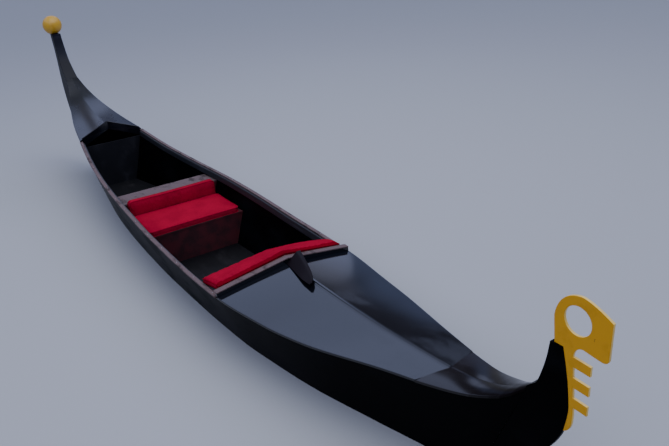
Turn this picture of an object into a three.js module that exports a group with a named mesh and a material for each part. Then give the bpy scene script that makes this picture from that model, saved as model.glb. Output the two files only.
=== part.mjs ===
// A flat-bottomed passenger gondola, about 9.7 m long, as an assembly of its real panels.
// Millimetres, +X towards the bow, +Y to port, +Z up.
// The origin is under the middle of the boat's length, level with the underside of its runners.

import * as THREE from 'three';
import { mergeVertices } from 'three/addons/utils/BufferGeometryUtils.js';

// Driving dimensions
const GAP = 0.3;                     // clearance between pieces that touch
const FIT = 0.9;                     // clearance of a board cut to the curved planking
const PLANK = 26;                    // side planking
const PLANK_AT_ENDS = 12;            // side planking where it fades into the posts
const PLANK_FADE = 600;              // length over which it fades
const BOTTOM_THICK = 25;
const DECK_THICK = 16;
const STATION_STEP = 220;            // spacing of the lofted sections
const HALVINGS = 40;                 // steps of each search by halving

const FRONT_COAMING_X = 1698;        // where the front coaming meets the sides
const FRONT_PEAK = { x: 1762, z: 820 };
const FRONT_SIDE_Z = 692;
const AFT_COAMING_X = -2790;
const AFT_PEAK = { x: -2890, z: 1060 };
const AFT_SIDE_Z = 925;
const SEAM_X = 3700;                 // foredeck seam at the sides
const SEAM_APEX_X = 3765;            // and on the ridge

const FRONT_BULKHEAD = { x: 1560, top: 625 };
const AFT_BULKHEAD = { x: -2764, top: 812 };
const BOARD = 18;                    // sole, seat and bulkhead boards

const SOLE = { front: 1540, back: -1300, top: 95 };
const PLATFORM = { front: -1302, back: -2744, top: 235 };
const SEAT = { front: -220, top: 456, cushion: 64, cushionHalf: 530 };
const BACKREST = { thick: 75, half: 520, above: 45 };
const LOCKER = { front: -862, back: -1150, top: 640, overhang: 6 };
const SEAT_BOARD = 16;               // seat top and locker lid
const SHELF = {
  back: 1320, sideZ: 619, middleZ: 669, fromCap: 64, board: 14, cover: 46, stand: 30,
};
const COAMING = { cap: 12, capWide: 60, board: 24, deep: 105 };
const RUNNER = { front: 2150, back: -1270, y: 300, wide: 60, thick: 15, toe: 70 };
const FLAT = RUNNER.thick;           // underside of the bottom's flat stretch

// Hull sections from bow to stern: the sheer and the chine, each as x, half-breadth, height
const HULL = [
  // sheer x, half, height, chine x, half, height
  [4400, 44, 1030, 4100, 44, 310],
  [4280, 106, 935, 3970, 62, 245],
  [3950, 185, 817, 3630, 120, 140],
  [3430, 312, 750, 3180, 215, 66],
  [2730, 498, 665, 2600, 330, 22],
  [2280, 580, 638, 2200, 385, FLAT],
  [1680, 655, 632, 1680, 440, FLAT],
  [960, 674, 640, 960, 465, FLAT],
  [250, 672, 665, 250, 470, FLAT],
  [-520, 645, 700, -520, 450, FLAT],
  [-1320, 590, 722, -1320, 400, FLAT],
  [-2010, 520, 765, -1960, 335, 34],
  [-2790, 412, 880, -2640, 235, 95],
  [-3320, 325, 970, -3130, 165, 165],
  [-3800, 205, 1130, -3620, 95, 280],
  [-4063, 122, 1290, -3930, 58, 390],
  [-4235, 85, 1405, -4150, 44, 485],
];
const BOW = {
  sheer: HULL[0][0], half: HULL[0][1], top: HULL[0][2], chine: HULL[0][3], foot: HULL[0][5],
};
const STERN = {
  sheer: HULL.at(-1)[0], top: HULL.at(-1)[2], half: HULL.at(-1)[1],
  chine: HULL.at(-1)[3], foot: HULL.at(-1)[5], footHalf: HULL.at(-1)[4],
};

// Crown lines on the centreline: x, height of the deck's top
const FOREDECK_RIDGE = [[1762, 769], [2600, 758], [3020, 764], [3445, 788], [3765, 812]];
const BOW_DECK_RIDGE = [[3700, 812], [3950, 848], [4130, 902], [4280, 974], [4397, 1058]];
const AFTERDECK_RIDGE = [[-4232, 1428], [-4063, 1320], [-3800, 1185], [-3320, 1060], [-2880, 1000]];

// Colours and finishes
const finish = (color, roughness, metalness = 0) =>
  new THREE.MeshStandardMaterial({ color, roughness, metalness });
const BLACK = finish('#101216', 0.15);
const INNER_BLACK = finish('#2a2a2e', 0.5);
const GREY = finish('#8c8b8c', 0.45);
const GOLD = finish('#d9a51c', 0.4);
const RED = finish('#a81426', 0.9);
const DARK_RED = finish('#6d1420', 0.9);

const gondola = new THREE.Group();

function add(name, geometry, material) {
  const mesh = new THREE.Mesh(geometry, material);
  mesh.name = name;
  gondola.add(mesh);
}

// Monotone cubic through rows of ascending or descending x: smooth, and never past its rows
function curve(rows, column, key = 0) {
  const points = rows.map((row) => [row[key], row[column]]).sort((a, b) => a[0] - b[0]);
  const slopes = points.slice(1).map(([x, y], i) => (y - points[i][1]) / (x - points[i][0]));
  const tangents = points.map((_, i) => {
    const before = slopes[i - 1] ?? slopes[i];
    const after = slopes[i] ?? slopes[i - 1];
    return before * after <= 0 ? 0 : (2 * before * after) / (before + after);
  });
  return (x) => {
    const last = points.length - 2;
    const found = points.findIndex((point, j) => j > 0 && x <= point[0]) - 1;
    const i = found < 0 ? (x <= points[0][0] ? 0 : last) : found;
    const width = points[i + 1][0] - points[i][0];
    const t = Math.min(1, Math.max(0, (x - points[i][0]) / width));
    const [a, b] = [points[i][1], points[i + 1][1]];
    const rise = (2 * t ** 3 - 3 * t ** 2 + 1) * a + (3 * t ** 2 - 2 * t ** 3) * b;
    const bend = (t ** 3 - 2 * t ** 2 + t) * tangents[i] + (t ** 3 - t ** 2) * tangents[i + 1];
    return rise + width * bend;
  };
}

// Evenly spaced values from start to end, both included
function spread(start, end, step = STATION_STEP) {
  const count = Math.max(1, Math.round(Math.abs(end - start) / step));
  return Array.from({ length: count + 1 }, (_, i) => start + ((end - start) * i) / count);
}

const mix = (a, b, t) => a + (b - a) * t;

// Closed solid through rings of equal length, each a list of [x, y, z] around a convex section.
// Each four-sided face is split along its shorter diagonal, so that twisted faces nest.
function loft(rings) {
  const size = rings[0].length;
  const positions = rings.flat(2);
  const corners = rings.flat().map((corner) => new THREE.Vector3(...corner));
  const index = [];
  for (let r = 0; r < rings.length - 1; r += 1) {
    for (let i = 0; i < size; i += 1) {
      const j = (i + 1) % size;
      const [a, b, c, d] = [r * size + i, r * size + j, (r + 1) * size + j, (r + 1) * size + i];
      const straight = corners[a].distanceTo(corners[c]) <= corners[b].distanceTo(corners[d]);
      index.push(...(straight ? [a, b, c, a, c, d] : [a, b, d, b, c, d]));
    }
  }
  const end = (rings.length - 1) * size;
  for (let i = 1; i < size - 1; i += 1) {
    index.push(0, i + 1, i, end, end + i, end + i + 1);
  }
  const geometry = new THREE.BufferGeometry();
  geometry.setAttribute('position', new THREE.Float32BufferAttribute(positions, 3));
  geometry.setIndex(index);
  return faceOut(geometry);
}

// Turns a closed mesh's triangles so that its enclosed volume is positive
function faceOut(geometry) {
  const corner = [new THREE.Vector3(), new THREE.Vector3(), new THREE.Vector3()];
  const index = geometry.index.array;
  let volume = 0;
  for (let i = 0; i < index.length; i += 3) {
    corner.forEach((v, k) => v.fromBufferAttribute(geometry.attributes.position, index[i + k]));
    volume += corner[0].dot(corner[1].clone().cross(corner[2]));
  }
  if (volume < 0) {
    for (let i = 0; i < index.length; i += 3) {
      [index[i], index[i + 1]] = [index[i + 1], index[i]];
    }
  }
  geometry.computeVertexNormals();
  return geometry;
}

// Mirrors a closed mesh from starboard to port
function mirrored(geometry) {
  return faceOut(geometry.clone().scale(1, -1, 1));
}

// Straight extrusion with only its positions kept, so that its corners are shared
function extruded(shape, depth, curveSegments = 12) {
  const geometry = new THREE.ExtrudeGeometry(shape, { depth, bevelEnabled: false, curveSegments });
  geometry.deleteAttribute('normal');
  geometry.deleteAttribute('uv');
  return mergeVertices(geometry, 0.001);
}

// A side-view outline in x and z, as a plate of this thickness centred on y
function sidePlate(shape, thickness, y = 0, curveSegments = 12) {
  return extruded(shape, thickness, curveSegments).rotateX(Math.PI / 2).translate(0, y + thickness / 2, 0);
}

// A plan outline in x and y between two heights
function planSlab(points, low, high) {
  const shape = new THREE.Shape(points.map(([x, y]) => new THREE.Vector2(x, y)));
  return extruded(shape, high - low).translate(0, 0, low);
}

function block([x0, x1], [y0, y1], [z0, z1]) {
  return new THREE.BoxGeometry(x1 - x0, y1 - y0, z1 - z0)
    .translate((x0 + x1) / 2, (y0 + y1) / 2, (z0 + z1) / 2);
}

// The hull's lines, all as functions of the sheer's x. They are smooth through the stations and
// straight between them, so that pieces that share a line fit each other along its whole length.
const stations = spread(BOW.sheer, STERN.sheer);

function hullLine(column) {
  const smooth = curve(HULL, column);
  const heights = stations.map(smooth);
  return (x) => {
    const place = ((x - BOW.sheer) / (STERN.sheer - BOW.sheer)) * (stations.length - 1);
    const i = Math.min(stations.length - 2, Math.max(0, Math.floor(place)));
    return mix(heights[i], heights[i + 1], place - i);
  };
}

const [sheerHalf, sheerZ, chineX, chineHalf, chineZ] = [1, 2, 3, 4, 5].map(hullLine);

// The two ends of a piece, and the stations between them
function stationsFrom(start, end) {
  const inside = stations.filter((x) => (x - start) * (x - end) < 0);
  return [start, ...(start > end ? inside : inside.reverse()), end];
}

// Planking thins towards both posts
function plankAt(x) {
  const fromEnd = Math.min(BOW.sheer - x, x - STERN.sheer);
  return mix(PLANK_AT_ENDS, PLANK, Math.min(1, fromEnd / PLANK_FADE));
}

// Outer surface of the starboard side at a section, from the chine (0) to the sheer (1)
function outerSide(x, up) {
  const foot = [chineX(x), chineHalf(x), chineZ(x) + BOTTOM_THICK + GAP];
  const top = [x, sheerHalf(x), sheerZ(x)];
  return foot.map((value, k) => mix(value, top[k], up));
}

// A point this far inside the starboard planking
function insideSide(x, up, away = GAP) {
  const [outerX, half, z] = outerSide(x, up);
  return [outerX, -half + plankAt(x) + away, z];
}

// Share of a section's height at which it reaches a level
function upTo(x, z) {
  const foot = chineZ(x) + BOTTOM_THICK + GAP;
  return (z - foot) / (sheerZ(x) - foot);
}

// The section whose raked line passes through a place and level inside the hull
function sectionThrough(x, z) {
  let [ahead, behind] = [BOW.sheer, STERN.sheer];
  for (let step = 0; step < HALVINGS; step += 1) {
    const middle = (ahead + behind) / 2;
    if (outerSide(middle, upTo(middle, z))[0] > x) ahead = middle;
    else behind = middle;
  }
  return ahead;
}

// Half-breadth inside the planking at a place and level
function innerHalf(x, z) {
  const section = sectionThrough(x, z);
  return -insideSide(section, upTo(section, z), 0)[1];
}

// Top of the bottom panel at a place
function bottomTop(x) {
  let [ahead, behind] = [BOW.sheer, STERN.sheer];
  for (let step = 0; step < HALVINGS; step += 1) {
    const middle = (ahead + behind) / 2;
    if (chineX(middle) > x) ahead = middle;
    else behind = middle;
  }
  return chineZ(ahead) + BOTTOM_THICK;
}

// Side planks
function sidePlank() {
  const rings = stations.map((x) => {
    const [low, high] = [outerSide(x, 0), outerSide(x, 1)];
    const thick = plankAt(x);
    return [
      [low[0], -low[1], low[2]],
      [high[0], -high[1], high[2]],
      [high[0], -high[1] + thick, high[2]],
      [low[0], -low[1] + thick, low[2]],
    ];
  });
  return loft(rings);
}

// Bottom panel, flat amidships and turned up to both posts
function bottomPanel() {
  return loft(stations.map((station) => {
    const [x, half, low] = [chineX(station), chineHalf(station), chineZ(station)];
    const high = low + BOTTOM_THICK;
    return [[x, -half, low], [x, half, low], [x, half, high], [x, -half, high]];
  }));
}

// A post as level sections: height, x and half-width at the hull, x and half-width at the edge
function post(sections) {
  return loft(sections.map(([z, hullX, hullHalf, edgeX, edgeHalf]) => [
    [hullX, -hullHalf, z], [edgeX, -edgeHalf, z], [edgeX, edgeHalf, z], [hullX, hullHalf, z],
  ]));
}

// Runners under the flat of the bottom, on which the boat stands ashore
function runner() {
  const { front, back, toe } = RUNNER;
  const outline = [[back, FLAT - GAP], [back + toe, 0], [front - toe, 0], [front, FLAT - GAP]];
  const shape = new THREE.Shape(outline.map(([x, z]) => new THREE.Vector2(x, z)));
  return sidePlate(shape, RUNNER.wide, RUNNER.y);
}

// Front of the stem, which carries the bow iron: height, x, half-width
const STEM_FRONT = [
  [300, 4135, 24], [400, 4285, 24], [540, 4420, 22], [690, 4530, 20], [800, 4598, 17],
  [892, 4636, 14], [1030, 4659, 11], [1058, 4659, 11], [1120, 4653, 11], [1213, 4640, 11],
  [1306, 4621, 11], [1403, 4597, 11],
];
// Back of the stem above the sheer: x, half-width
const STEM_NECK = [[4401, 44], [4460, 37], [4490, 31], [4509, 25], [4520, 20]];
const STEM_TOP = STEM_FRONT.at(-1)[0];

function stemPost() {
  const rake = (BOW.sheer - BOW.chine) / (BOW.top - BOW.foot);
  const hullX = (z) => BOW.chine + GAP + Math.max(0, z - BOW.foot) * rake;
  const joined = STEM_FRONT.length - STEM_NECK.length;
  return post(STEM_FRONT.map(([z, x, half], i) => (
    i < joined ? [z, hullX(z), BOW.half, x, half] : [z, ...STEM_NECK[i - joined], x, half])));
}

const STERN_TOP = 1980;

function sternPost() {
  const share = (z) => Math.max(0, z - STERN.foot) / (STERN.top - STERN.foot);
  const hullX = (z) => mix(STERN.chine, STERN.sheer, share(z)) - GAP;
  const hullHalf = (z) => mix(STERN.footHalf, STERN.half, share(z));
  // height, back x, half-width of the back
  const lower = [
    [490, -4172, 32], [600, -4335, 36], [760, -4468, 42], [1010, -4574, 49], [1260, -4634, 53],
    [1405, -4656, 52],
  ];
  // height, front x, half-width of the front, back x, half-width of the back
  const upper = [
    [1530, -4370, 78, -4674, 50], [1657, -4467, 68, -4695, 47], [1810, -4535, 63, -4728, 45],
    [STERN_TOP, -4592, 59, -4782, 43],
  ];
  return post([...lower.map(([z, x, half]) => [z, hullX(z), hullHalf(z), x, half]), ...upper]);
}

add('hull_bottom', bottomPanel(), BLACK);
add('runner_port', runner(), BLACK);
add('runner_starboard', mirrored(runner()), BLACK);
add('hull_side_starboard', sidePlank(), BLACK);
add('hull_side_port', mirrored(sidePlank()), BLACK);
add('stem_post', stemPost(), BLACK);
add('stern_post', sternPost(), BLACK);

// Gunwale strips along the open cockpit
const GUNWALE = { out: 7, in: 33, thick: 15, fromCoaming: 25 };

function gunwale() {
  const rings = stationsFrom(
    FRONT_COAMING_X - GUNWALE.fromCoaming, AFT_COAMING_X + GUNWALE.fromCoaming).map((x) => {
    const [outer, inner] = [sheerHalf(x) + GUNWALE.out, sheerHalf(x) - GUNWALE.in];
    const [low, high] = [sheerZ(x) + GAP, sheerZ(x) + GUNWALE.thick];
    return [[x, -outer, low], [x, -outer, high], [x, -inner, high], [x, -inner, low]];
  });
  return loft(rings);
}

// Stringer inside each side, just under the gunwale
const STRINGER = { thick: 22, deep: 60, fromFront: 1, fromAft: 20 };

function stringer() {
  const [start, end] = [FRONT_BULKHEAD.x - STRINGER.fromFront, AFT_BULKHEAD.x + STRINGER.fromAft];
  return loft(stationsFrom(start, end).map((x) => {
    const low = upTo(x, sheerZ(x) - STRINGER.deep);
    return [
      insideSide(x, low), insideSide(x, 1),
      insideSide(x, 1, STRINGER.thick), insideSide(x, low, STRINGER.thick),
    ];
  }));
}

add('gunwale_starboard', gunwale(), GREY);
add('gunwale_port', mirrored(gunwale()), GREY);
add('inner_stringer_starboard', stringer(), INNER_BLACK);
add('inner_stringer_port', mirrored(stringer()), INNER_BLACK);

// Places along a deck whose ends run in a V: its sheer's x, and the x on its crown line
function deckPlaces([edgeStart, ridgeStart], [edgeEnd, ridgeEnd]) {
  return stationsFrom(edgeStart, edgeEnd).map((edgeX) => {
    const share = (edgeX - edgeStart) / (edgeEnd - edgeStart);
    return { edgeX, ridgeX: mix(ridgeStart, ridgeEnd, share) };
  });
}

// A deck's starboard half, ruled from the sheer to the crown line
function deckHalf(crownRows, places) {
  const crown = curve(crownRows, 1);
  return loft(places.map(({ edgeX, ridgeX }) => {
    const [half, edgeZ, ridgeZ] = [sheerHalf(edgeX), sheerZ(edgeX) + GAP, crown(ridgeX)];
    return [
      [edgeX, -half, edgeZ], [edgeX, -half, edgeZ + DECK_THICK],
      [ridgeX, -GAP / 2, ridgeZ], [ridgeX, -GAP / 2, ridgeZ - DECK_THICK],
    ];
  }));
}

// Strip that covers the joint of two deck halves
function ridgeStrip(crownRows, places, half, thick) {
  const crown = curve(crownRows, 1);
  return loft(places.map(({ ridgeX }) => {
    const z = crown(ridgeX) + GAP;
    return [
      [ridgeX, -half, z], [ridgeX, half, z],
      [ridgeX, half * 0.6, z + thick], [ridgeX, -half * 0.6, z + thick],
    ];
  }));
}

const foredeckPlaces = deckPlaces(
  [FRONT_COAMING_X + 2, FRONT_PEAK.x + 2], [SEAM_X, SEAM_APEX_X]);
const bowDeckPlaces = deckPlaces([SEAM_X + 1, SEAM_APEX_X + 1], [BOW.sheer - 2, BOW.sheer - 2]);
const afterdeckPlaces = deckPlaces(
  [AFT_COAMING_X - 2, AFT_PEAK.x - 2], [STERN.sheer + 2, STERN.sheer + 2]);
const foredeck = deckHalf(FOREDECK_RIDGE, foredeckPlaces);
const bowDeck = deckHalf(BOW_DECK_RIDGE, bowDeckPlaces);
const afterdeck = deckHalf(AFTERDECK_RIDGE, afterdeckPlaces);

add('foredeck_starboard', foredeck, BLACK);
add('foredeck_port', mirrored(foredeck), BLACK);
const stripPlaces = [...foredeckPlaces.slice(2, -1), { ridgeX: SEAM_APEX_X - 8 }];
add('foredeck_ridge', ridgeStrip(FOREDECK_RIDGE, stripPlaces, 22, 6), BLACK);
add('bow_deck_starboard', bowDeck, BLACK);
add('bow_deck_port', mirrored(bowDeck), BLACK);
add('afterdeck_starboard', afterdeck, BLACK);
add('afterdeck_port', mirrored(afterdeck), BLACK);

// A coaming runs in a V from side to side; each place is an edge of its top
function coamingLine(sideX, sideZ, peak) {
  return [-1, 0, 1].map((side) => (side === 0
    ? { side, x: peak.x, z: peak.z }
    : { side, x: sideX, z: sideZ }));
}

// Flat strip along the top of a coaming, out to the hull's sides
function coamingCap(line, front, back) {
  return loft(line.map(({ side, x, z }) => {
    const y = side * sheerHalf(x);
    return [
      [x + front, y, z], [x + back, y, z],
      [x + back, y, z - COAMING.cap], [x + front, y, z - COAMING.cap],
    ];
  }));
}

// Aft board, between the planks
function aftBoard(line) {
  return loft(line.map(({ side, x, z }) => {
    const [ahead, foot] = [x + COAMING.board, z - COAMING.deep];
    const room = (level) => Math.min(innerHalf(x, level), innerHalf(ahead, level)) - FIT;
    const [yTop, yFoot] = [side * room(Math.min(z, sheerZ(x))), side * room(foot)];
    return [[x, yTop, z], [ahead, yTop, z], [ahead, yFoot, foot], [x, yFoot, foot]];
  }));
}

// Front board, whose ends stand on the planks' heads and whose middle reaches down between them
function frontBoard(line) {
  const [, middle, end] = line;
  const outer = sheerHalf(end.x);
  const front = mix(middle.x, end.x, innerHalf(end.x, sheerZ(end.x)) / outer);
  const faces = [front, front - COAMING.board];
  const room = (level) => Math.min(...faces.map((x) => innerHalf(x, level))) - FIT;
  const [inner, foot] = [room(sheerZ(end.x)), room(end.z - COAMING.deep)];
  const head = Math.max(...faces.map(sheerZ)) + GAP;
  const ring = (side, yTop, yFoot, low) => {
    const at = (y) => mix(middle.x, end.x, y / outer);
    const top = mix(middle.z, end.z, yTop / outer) - COAMING.cap - GAP;
    const corner = (y, back, z) => [at(y) - back, side * y, z];
    return [corner(yTop, 0, top), corner(yTop, COAMING.board, top),
      corner(yFoot, COAMING.board, low), corner(yFoot, 0, low)];
  };
  const half = (side) => [
    ring(side, outer, outer, head), ring(side, inner, inner, head),
    ring(side, inner - 1, foot, end.z - COAMING.deep),
  ];
  return loft([...half(-1), ring(1, 0, 0, middle.z - COAMING.deep), ...half(1).reverse()]);
}

const frontLine = coamingLine(FRONT_COAMING_X, FRONT_SIDE_Z, FRONT_PEAK);
const aftLine = coamingLine(AFT_COAMING_X, AFT_SIDE_Z, AFT_PEAK);

add('front_coaming_cap', coamingCap(frontLine, 1, -COAMING.capWide), GREY);
add('front_coaming_board', frontBoard(frontLine), BLACK);
add('aft_coaming', aftBoard(aftLine), BLACK);

// Upright board across the hull, cut to the planking
function crossPanel(x, top, low) {
  return loft([x, x + BOARD].map((at) => {
    const room = (level) => Math.min(innerHalf(x, level), innerHalf(x + BOARD, level)) - FIT;
    const [foot, head] = [room(low), room(top)];
    return [[at, -foot, low], [at, foot, low], [at, head, top], [at, -head, top]];
  }));
}

// Level board between two places, cut to the planking
function levelBoard(front, back, top, thick) {
  const low = top - thick;
  const rows = stationsFrom(front, back).map((x) => [x, innerHalf(x, low) - FIT]);
  const outline = [...rows, ...rows.map(([x, half]) => [x, -half]).reverse()];
  return planSlab(outline, low, top);
}

// Bulkheads that close the hull under both coamings
add('front_bulkhead', crossPanel(FRONT_BULKHEAD.x, FRONT_BULKHEAD.top,
  bottomTop(FRONT_BULKHEAD.x) + GAP), INNER_BLACK);
add('aft_bulkhead', crossPanel(AFT_BULKHEAD.x, AFT_BULKHEAD.top,
  bottomTop(AFT_BULKHEAD.x) + GAP), INNER_BLACK);

// Floor frame: one keelson with cross bearers, under the sole
function floorFrame() {
  const [spine, bearer, fromEnds, pitch, clear] = [45, 50, 60, 550, 4];
  const low = FLAT + BOTTOM_THICK + GAP;
  const places = spread(SOLE.front - fromEnds, SOLE.back + fromEnds, pitch);
  const side = (sign) => places.flatMap((x) => {
    const half = sign * (innerHalf(x - bearer / 2, low) - clear);
    return [
      [x + bearer / 2, sign * spine], [x + bearer / 2, half],
      [x - bearer / 2, half], [x - bearer / 2, sign * spine],
    ];
  });
  return planSlab([...side(1), ...side(-1).reverse()], low, SOLE.top - BOARD - GAP);
}

// Three sole boards side by side
function soleBoards() {
  const low = SOLE.top - BOARD;
  const middle = 150;
  const rows = stationsFrom(SOLE.front, SOLE.back).map((x) => [x, innerHalf(x, low) - FIT]);
  const inner = [[SOLE.back, middle + GAP], [SOLE.front, middle + GAP]];
  const port = planSlab([...rows, ...inner], low, SOLE.top);
  return [
    ['sole_board_centre', block([SOLE.back, SOLE.front], [-middle, middle], [low, SOLE.top])],
    ['sole_board_port', port],
    ['sole_board_starboard', mirrored(port)],
  ];
}

add('floor_frame', floorFrame(), INNER_BLACK);
soleBoards().forEach(([name, geometry]) => add(name, geometry, INNER_BLACK));
add('helmsman_platform', levelBoard(PLATFORM.front, PLATFORM.back, PLATFORM.top, BOARD), INNER_BLACK);

// Passenger seat, with a low locker behind it
const seatBoardLow = SEAT.top - SEAT_BOARD;
const lockerLidLow = LOCKER.top - SEAT_BOARD;
add('seat_front_panel', crossPanel(SEAT.front - BOARD, seatBoardLow - GAP, SOLE.top + GAP), DARK_RED);
add('seat_top', levelBoard(SEAT.front + 4, LOCKER.front + GAP, SEAT.top, SEAT_BOARD), DARK_RED);
add('seat_back_panel', crossPanel(LOCKER.front - BOARD, lockerLidLow - GAP, SOLE.top + GAP), DARK_RED);
add('locker_back_panel', crossPanel(LOCKER.back, lockerLidLow - GAP, SOLE.top + GAP), INNER_BLACK);
add('locker_lid',
  levelBoard(LOCKER.front, LOCKER.back - LOCKER.overhang, LOCKER.top, SEAT_BOARD), GREY);
const backrestFront = LOCKER.front + BACKREST.thick;
add('seat_cushion', block([backrestFront + 1, SEAT.front + 6],
  [-SEAT.cushionHalf, SEAT.cushionHalf], [SEAT.top + GAP, SEAT.top + SEAT.cushion]), RED);
add('backrest_cushion', block([LOCKER.front + GAP, backrestFront],
  [-BACKREST.half, BACKREST.half], [SEAT.top + GAP, LOCKER.top + BACKREST.above]), RED);

// Sloping shelf behind the front coaming, from the cap down to the cockpit, with its padded cover
function shelfLayer(above, thick, inset) {
  return loft(frontLine.map(({ side, x, z }) => {
    const front = x - SHELF.fromCap;
    const level = (at, z0) => Math.min(z0, sheerZ(at));
    const half = (at, z0) => side * (innerHalf(at, level(at, z0)) - STRINGER.thick - inset);
    const backZ = side === 0 ? SHELF.middleZ : SHELF.sideZ;
    const [frontTop, backTop] = [z + SHELF.stand - SHELF.cover + above, backZ + above];
    const [frontY, backY] = [half(front, frontTop - thick), half(SHELF.back, backTop - thick)];
    return [
      [front, frontY, frontTop], [SHELF.back, backY, backTop],
      [SHELF.back, backY, backTop - thick], [front, frontY, frontTop - thick],
    ];
  }));
}

add('front_shelf', shelfLayer(0, SHELF.board, 1), INNER_BLACK);
add('front_shelf_cover', shelfLayer(SHELF.cover, SHELF.cover - GAP, 2), RED);

// Bow iron: a flat plate with a round hole in its head and three teeth
const IRON = {
  thick: 18, hole: { x: 4671, z: 1587, radius: 82, sides: 36 },
  spine: 4660, toothTip: 4770, foot: 892,
};
const TEETH = { top: 1374, thick: 60, pitch: 121, count: 3, lean: 10 };

function bowIron() {
  const shape = new THREE.Shape();
  shape.moveTo(4540, STEM_TOP + GAP);
  shape.lineTo(4527, 1560);
  shape.bezierCurveTo(4540, 1680, 4620, 1727, 4690, 1729);
  shape.quadraticCurveTo(4760, 1722, 4869, 1663);
  shape.lineTo(4865, 1452);
  shape.quadraticCurveTo(4858, 1430, 4830, 1428);
  shape.quadraticCurveTo(4770, 1434, 4715, 1442);
  shape.quadraticCurveTo(4672, 1436, IRON.spine, TEETH.top + 8);
  for (let i = 0; i < TEETH.count; i += 1) {
    const top = TEETH.top - i * TEETH.pitch;
    const root = IRON.spine + i * TEETH.lean;
    shape.lineTo(root, top);
    shape.lineTo(IRON.toothTip, top - 6);
    shape.lineTo(IRON.toothTip, top - TEETH.thick - 4);
    shape.lineTo(root + 6, top - TEETH.thick);
  }
  shape.quadraticCurveTo(4690, 1010, 4684, 960);
  const seat = STEM_FRONT.filter(([z]) => z >= IRON.foot);
  shape.quadraticCurveTo(4674, 910, seat[0][1] + GAP, IRON.foot);
  seat.slice(1).forEach(([z, x]) => shape.lineTo(x + GAP, z));
  shape.lineTo(seat.at(-1)[1] + GAP, STEM_TOP + GAP);
  const { x, z, radius, sides } = IRON.hole;
  const rim = Array.from({ length: sides }, (_, i) => {
    const angle = (2 * Math.PI * i) / sides;
    return new THREE.Vector2(x + radius * Math.cos(angle), z + radius * Math.sin(angle));
  });
  shape.holes.push(new THREE.Path(rim));
  return sidePlate(shape, IRON.thick, 0, 16);
}
add('bow_iron', bowIron(), GOLD);

// Gold ball on the stern post, with a collar that carries the post's faces up to it
const BALL = { x: -4732, z: 2126, radius: 132, seat: 60 };

function turned(profile) {
  const points = profile.map(([r, z]) => new THREE.Vector2(r, z));
  const geometry = new THREE.LatheGeometry(points, 28);
  geometry.deleteAttribute('normal');
  geometry.deleteAttribute('uv');
  return mergeVertices(geometry.rotateX(Math.PI / 2), 0.001);
}

function sternBall() {
  const flat = -Math.sqrt(BALL.radius ** 2 - BALL.seat ** 2);
  const start = Math.asin(flat / BALL.radius);
  const arc = spread(start, Math.PI / 2, 0.2).map((angle) => [
    BALL.radius * Math.cos(angle), BALL.radius * Math.sin(angle),
  ]);
  arc[arc.length - 1][0] = 0;
  return turned([[0, flat], ...arc]).translate(BALL.x, 0, BALL.z);
}

const collarTop = BALL.z - Math.sqrt(BALL.radius ** 2 - BALL.seat ** 2) - GAP;
const ballCollar = post([
  [STERN_TOP + GAP, -4592, 59, -4782, 43], [collarTop, -4598, 58, -4789, 43],
]);
add('stern_ball', sternBall(), GOLD);
add('ball_collar', ballCollar, BLACK);

// Pointed horn on the deck, ahead of the front coaming's peak
function deckHorn() {
  // x, y, half-width, low and high
  const sections = [
    [FRONT_PEAK.x + 4, 54, 78, 769.3, 852],
    [FRONT_PEAK.x + 168, 14, 66, 774, 841],
    [FRONT_PEAK.x + 338, -30, 52, 781, 822],
    [FRONT_PEAK.x + 428, -57, 30, 784, 808],
    [FRONT_PEAK.x + 464, -77, 12, 786, 798],
  ];
  return loft(sections.map(([x, y, half, low, high]) => [
    [x, y - half, low], [x, y + half, low], [x, y + half * 0.85, high], [x, y + half * 0.35, high],
  ]));
}
add('deck_horn', deckHorn(), BLACK);

export default gondola;
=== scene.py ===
"""Looks of a long black passenger gondola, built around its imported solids.

The hull, decks, posts and trim are smooth surfaces worked out from the boat's own lines, the
cushions are cloth blown up between their welts, and the flat boards keep their solids.
Metres, +X towards the bow, +Y to port, +Z up. The boat floats, so the floor is at its waterline.
"""

from __future__ import annotations

import logging
import math
from collections.abc import Callable, Sequence
from dataclasses import dataclass, field, replace
from enum import Enum

import bpy
import numpy as np
from mathutils import Matrix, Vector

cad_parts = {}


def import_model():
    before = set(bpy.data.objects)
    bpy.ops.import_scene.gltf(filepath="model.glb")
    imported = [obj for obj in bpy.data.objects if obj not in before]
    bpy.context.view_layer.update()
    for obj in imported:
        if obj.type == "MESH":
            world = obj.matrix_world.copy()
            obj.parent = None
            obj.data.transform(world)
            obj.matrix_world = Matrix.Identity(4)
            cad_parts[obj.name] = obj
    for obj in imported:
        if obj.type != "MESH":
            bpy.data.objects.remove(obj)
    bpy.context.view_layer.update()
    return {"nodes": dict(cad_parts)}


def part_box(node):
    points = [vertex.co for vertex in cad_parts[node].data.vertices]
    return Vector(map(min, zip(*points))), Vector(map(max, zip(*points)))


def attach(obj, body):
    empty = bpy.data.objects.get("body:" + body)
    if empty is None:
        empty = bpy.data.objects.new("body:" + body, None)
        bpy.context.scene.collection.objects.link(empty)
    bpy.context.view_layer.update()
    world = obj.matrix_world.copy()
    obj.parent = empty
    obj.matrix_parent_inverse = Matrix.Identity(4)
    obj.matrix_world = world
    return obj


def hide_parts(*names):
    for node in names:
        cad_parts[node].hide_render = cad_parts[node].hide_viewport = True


LOG = logging.getLogger("gondola")
BODY = "root"
MM = 0.001
GAP_MM = 0.3
GAP = GAP_MM * MM
WATERLINE = 160 * MM
SIDEWAYS_COSINE = 0.6


class Side(Enum):
    """The two sides of the boat, as the names of pieces and nodes end."""

    STARBOARD = "starboard"
    PORT = "port"


class Slot(Enum):
    """The record's material slots."""

    BLACK = "gloss_black"
    GREY = "grey_trim"
    INNER = "inner_black"
    SEAT = "seat_red"
    CLOTH = "cushion_red"
    GOLD = "gold_paint"


# Shader helpers

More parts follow.
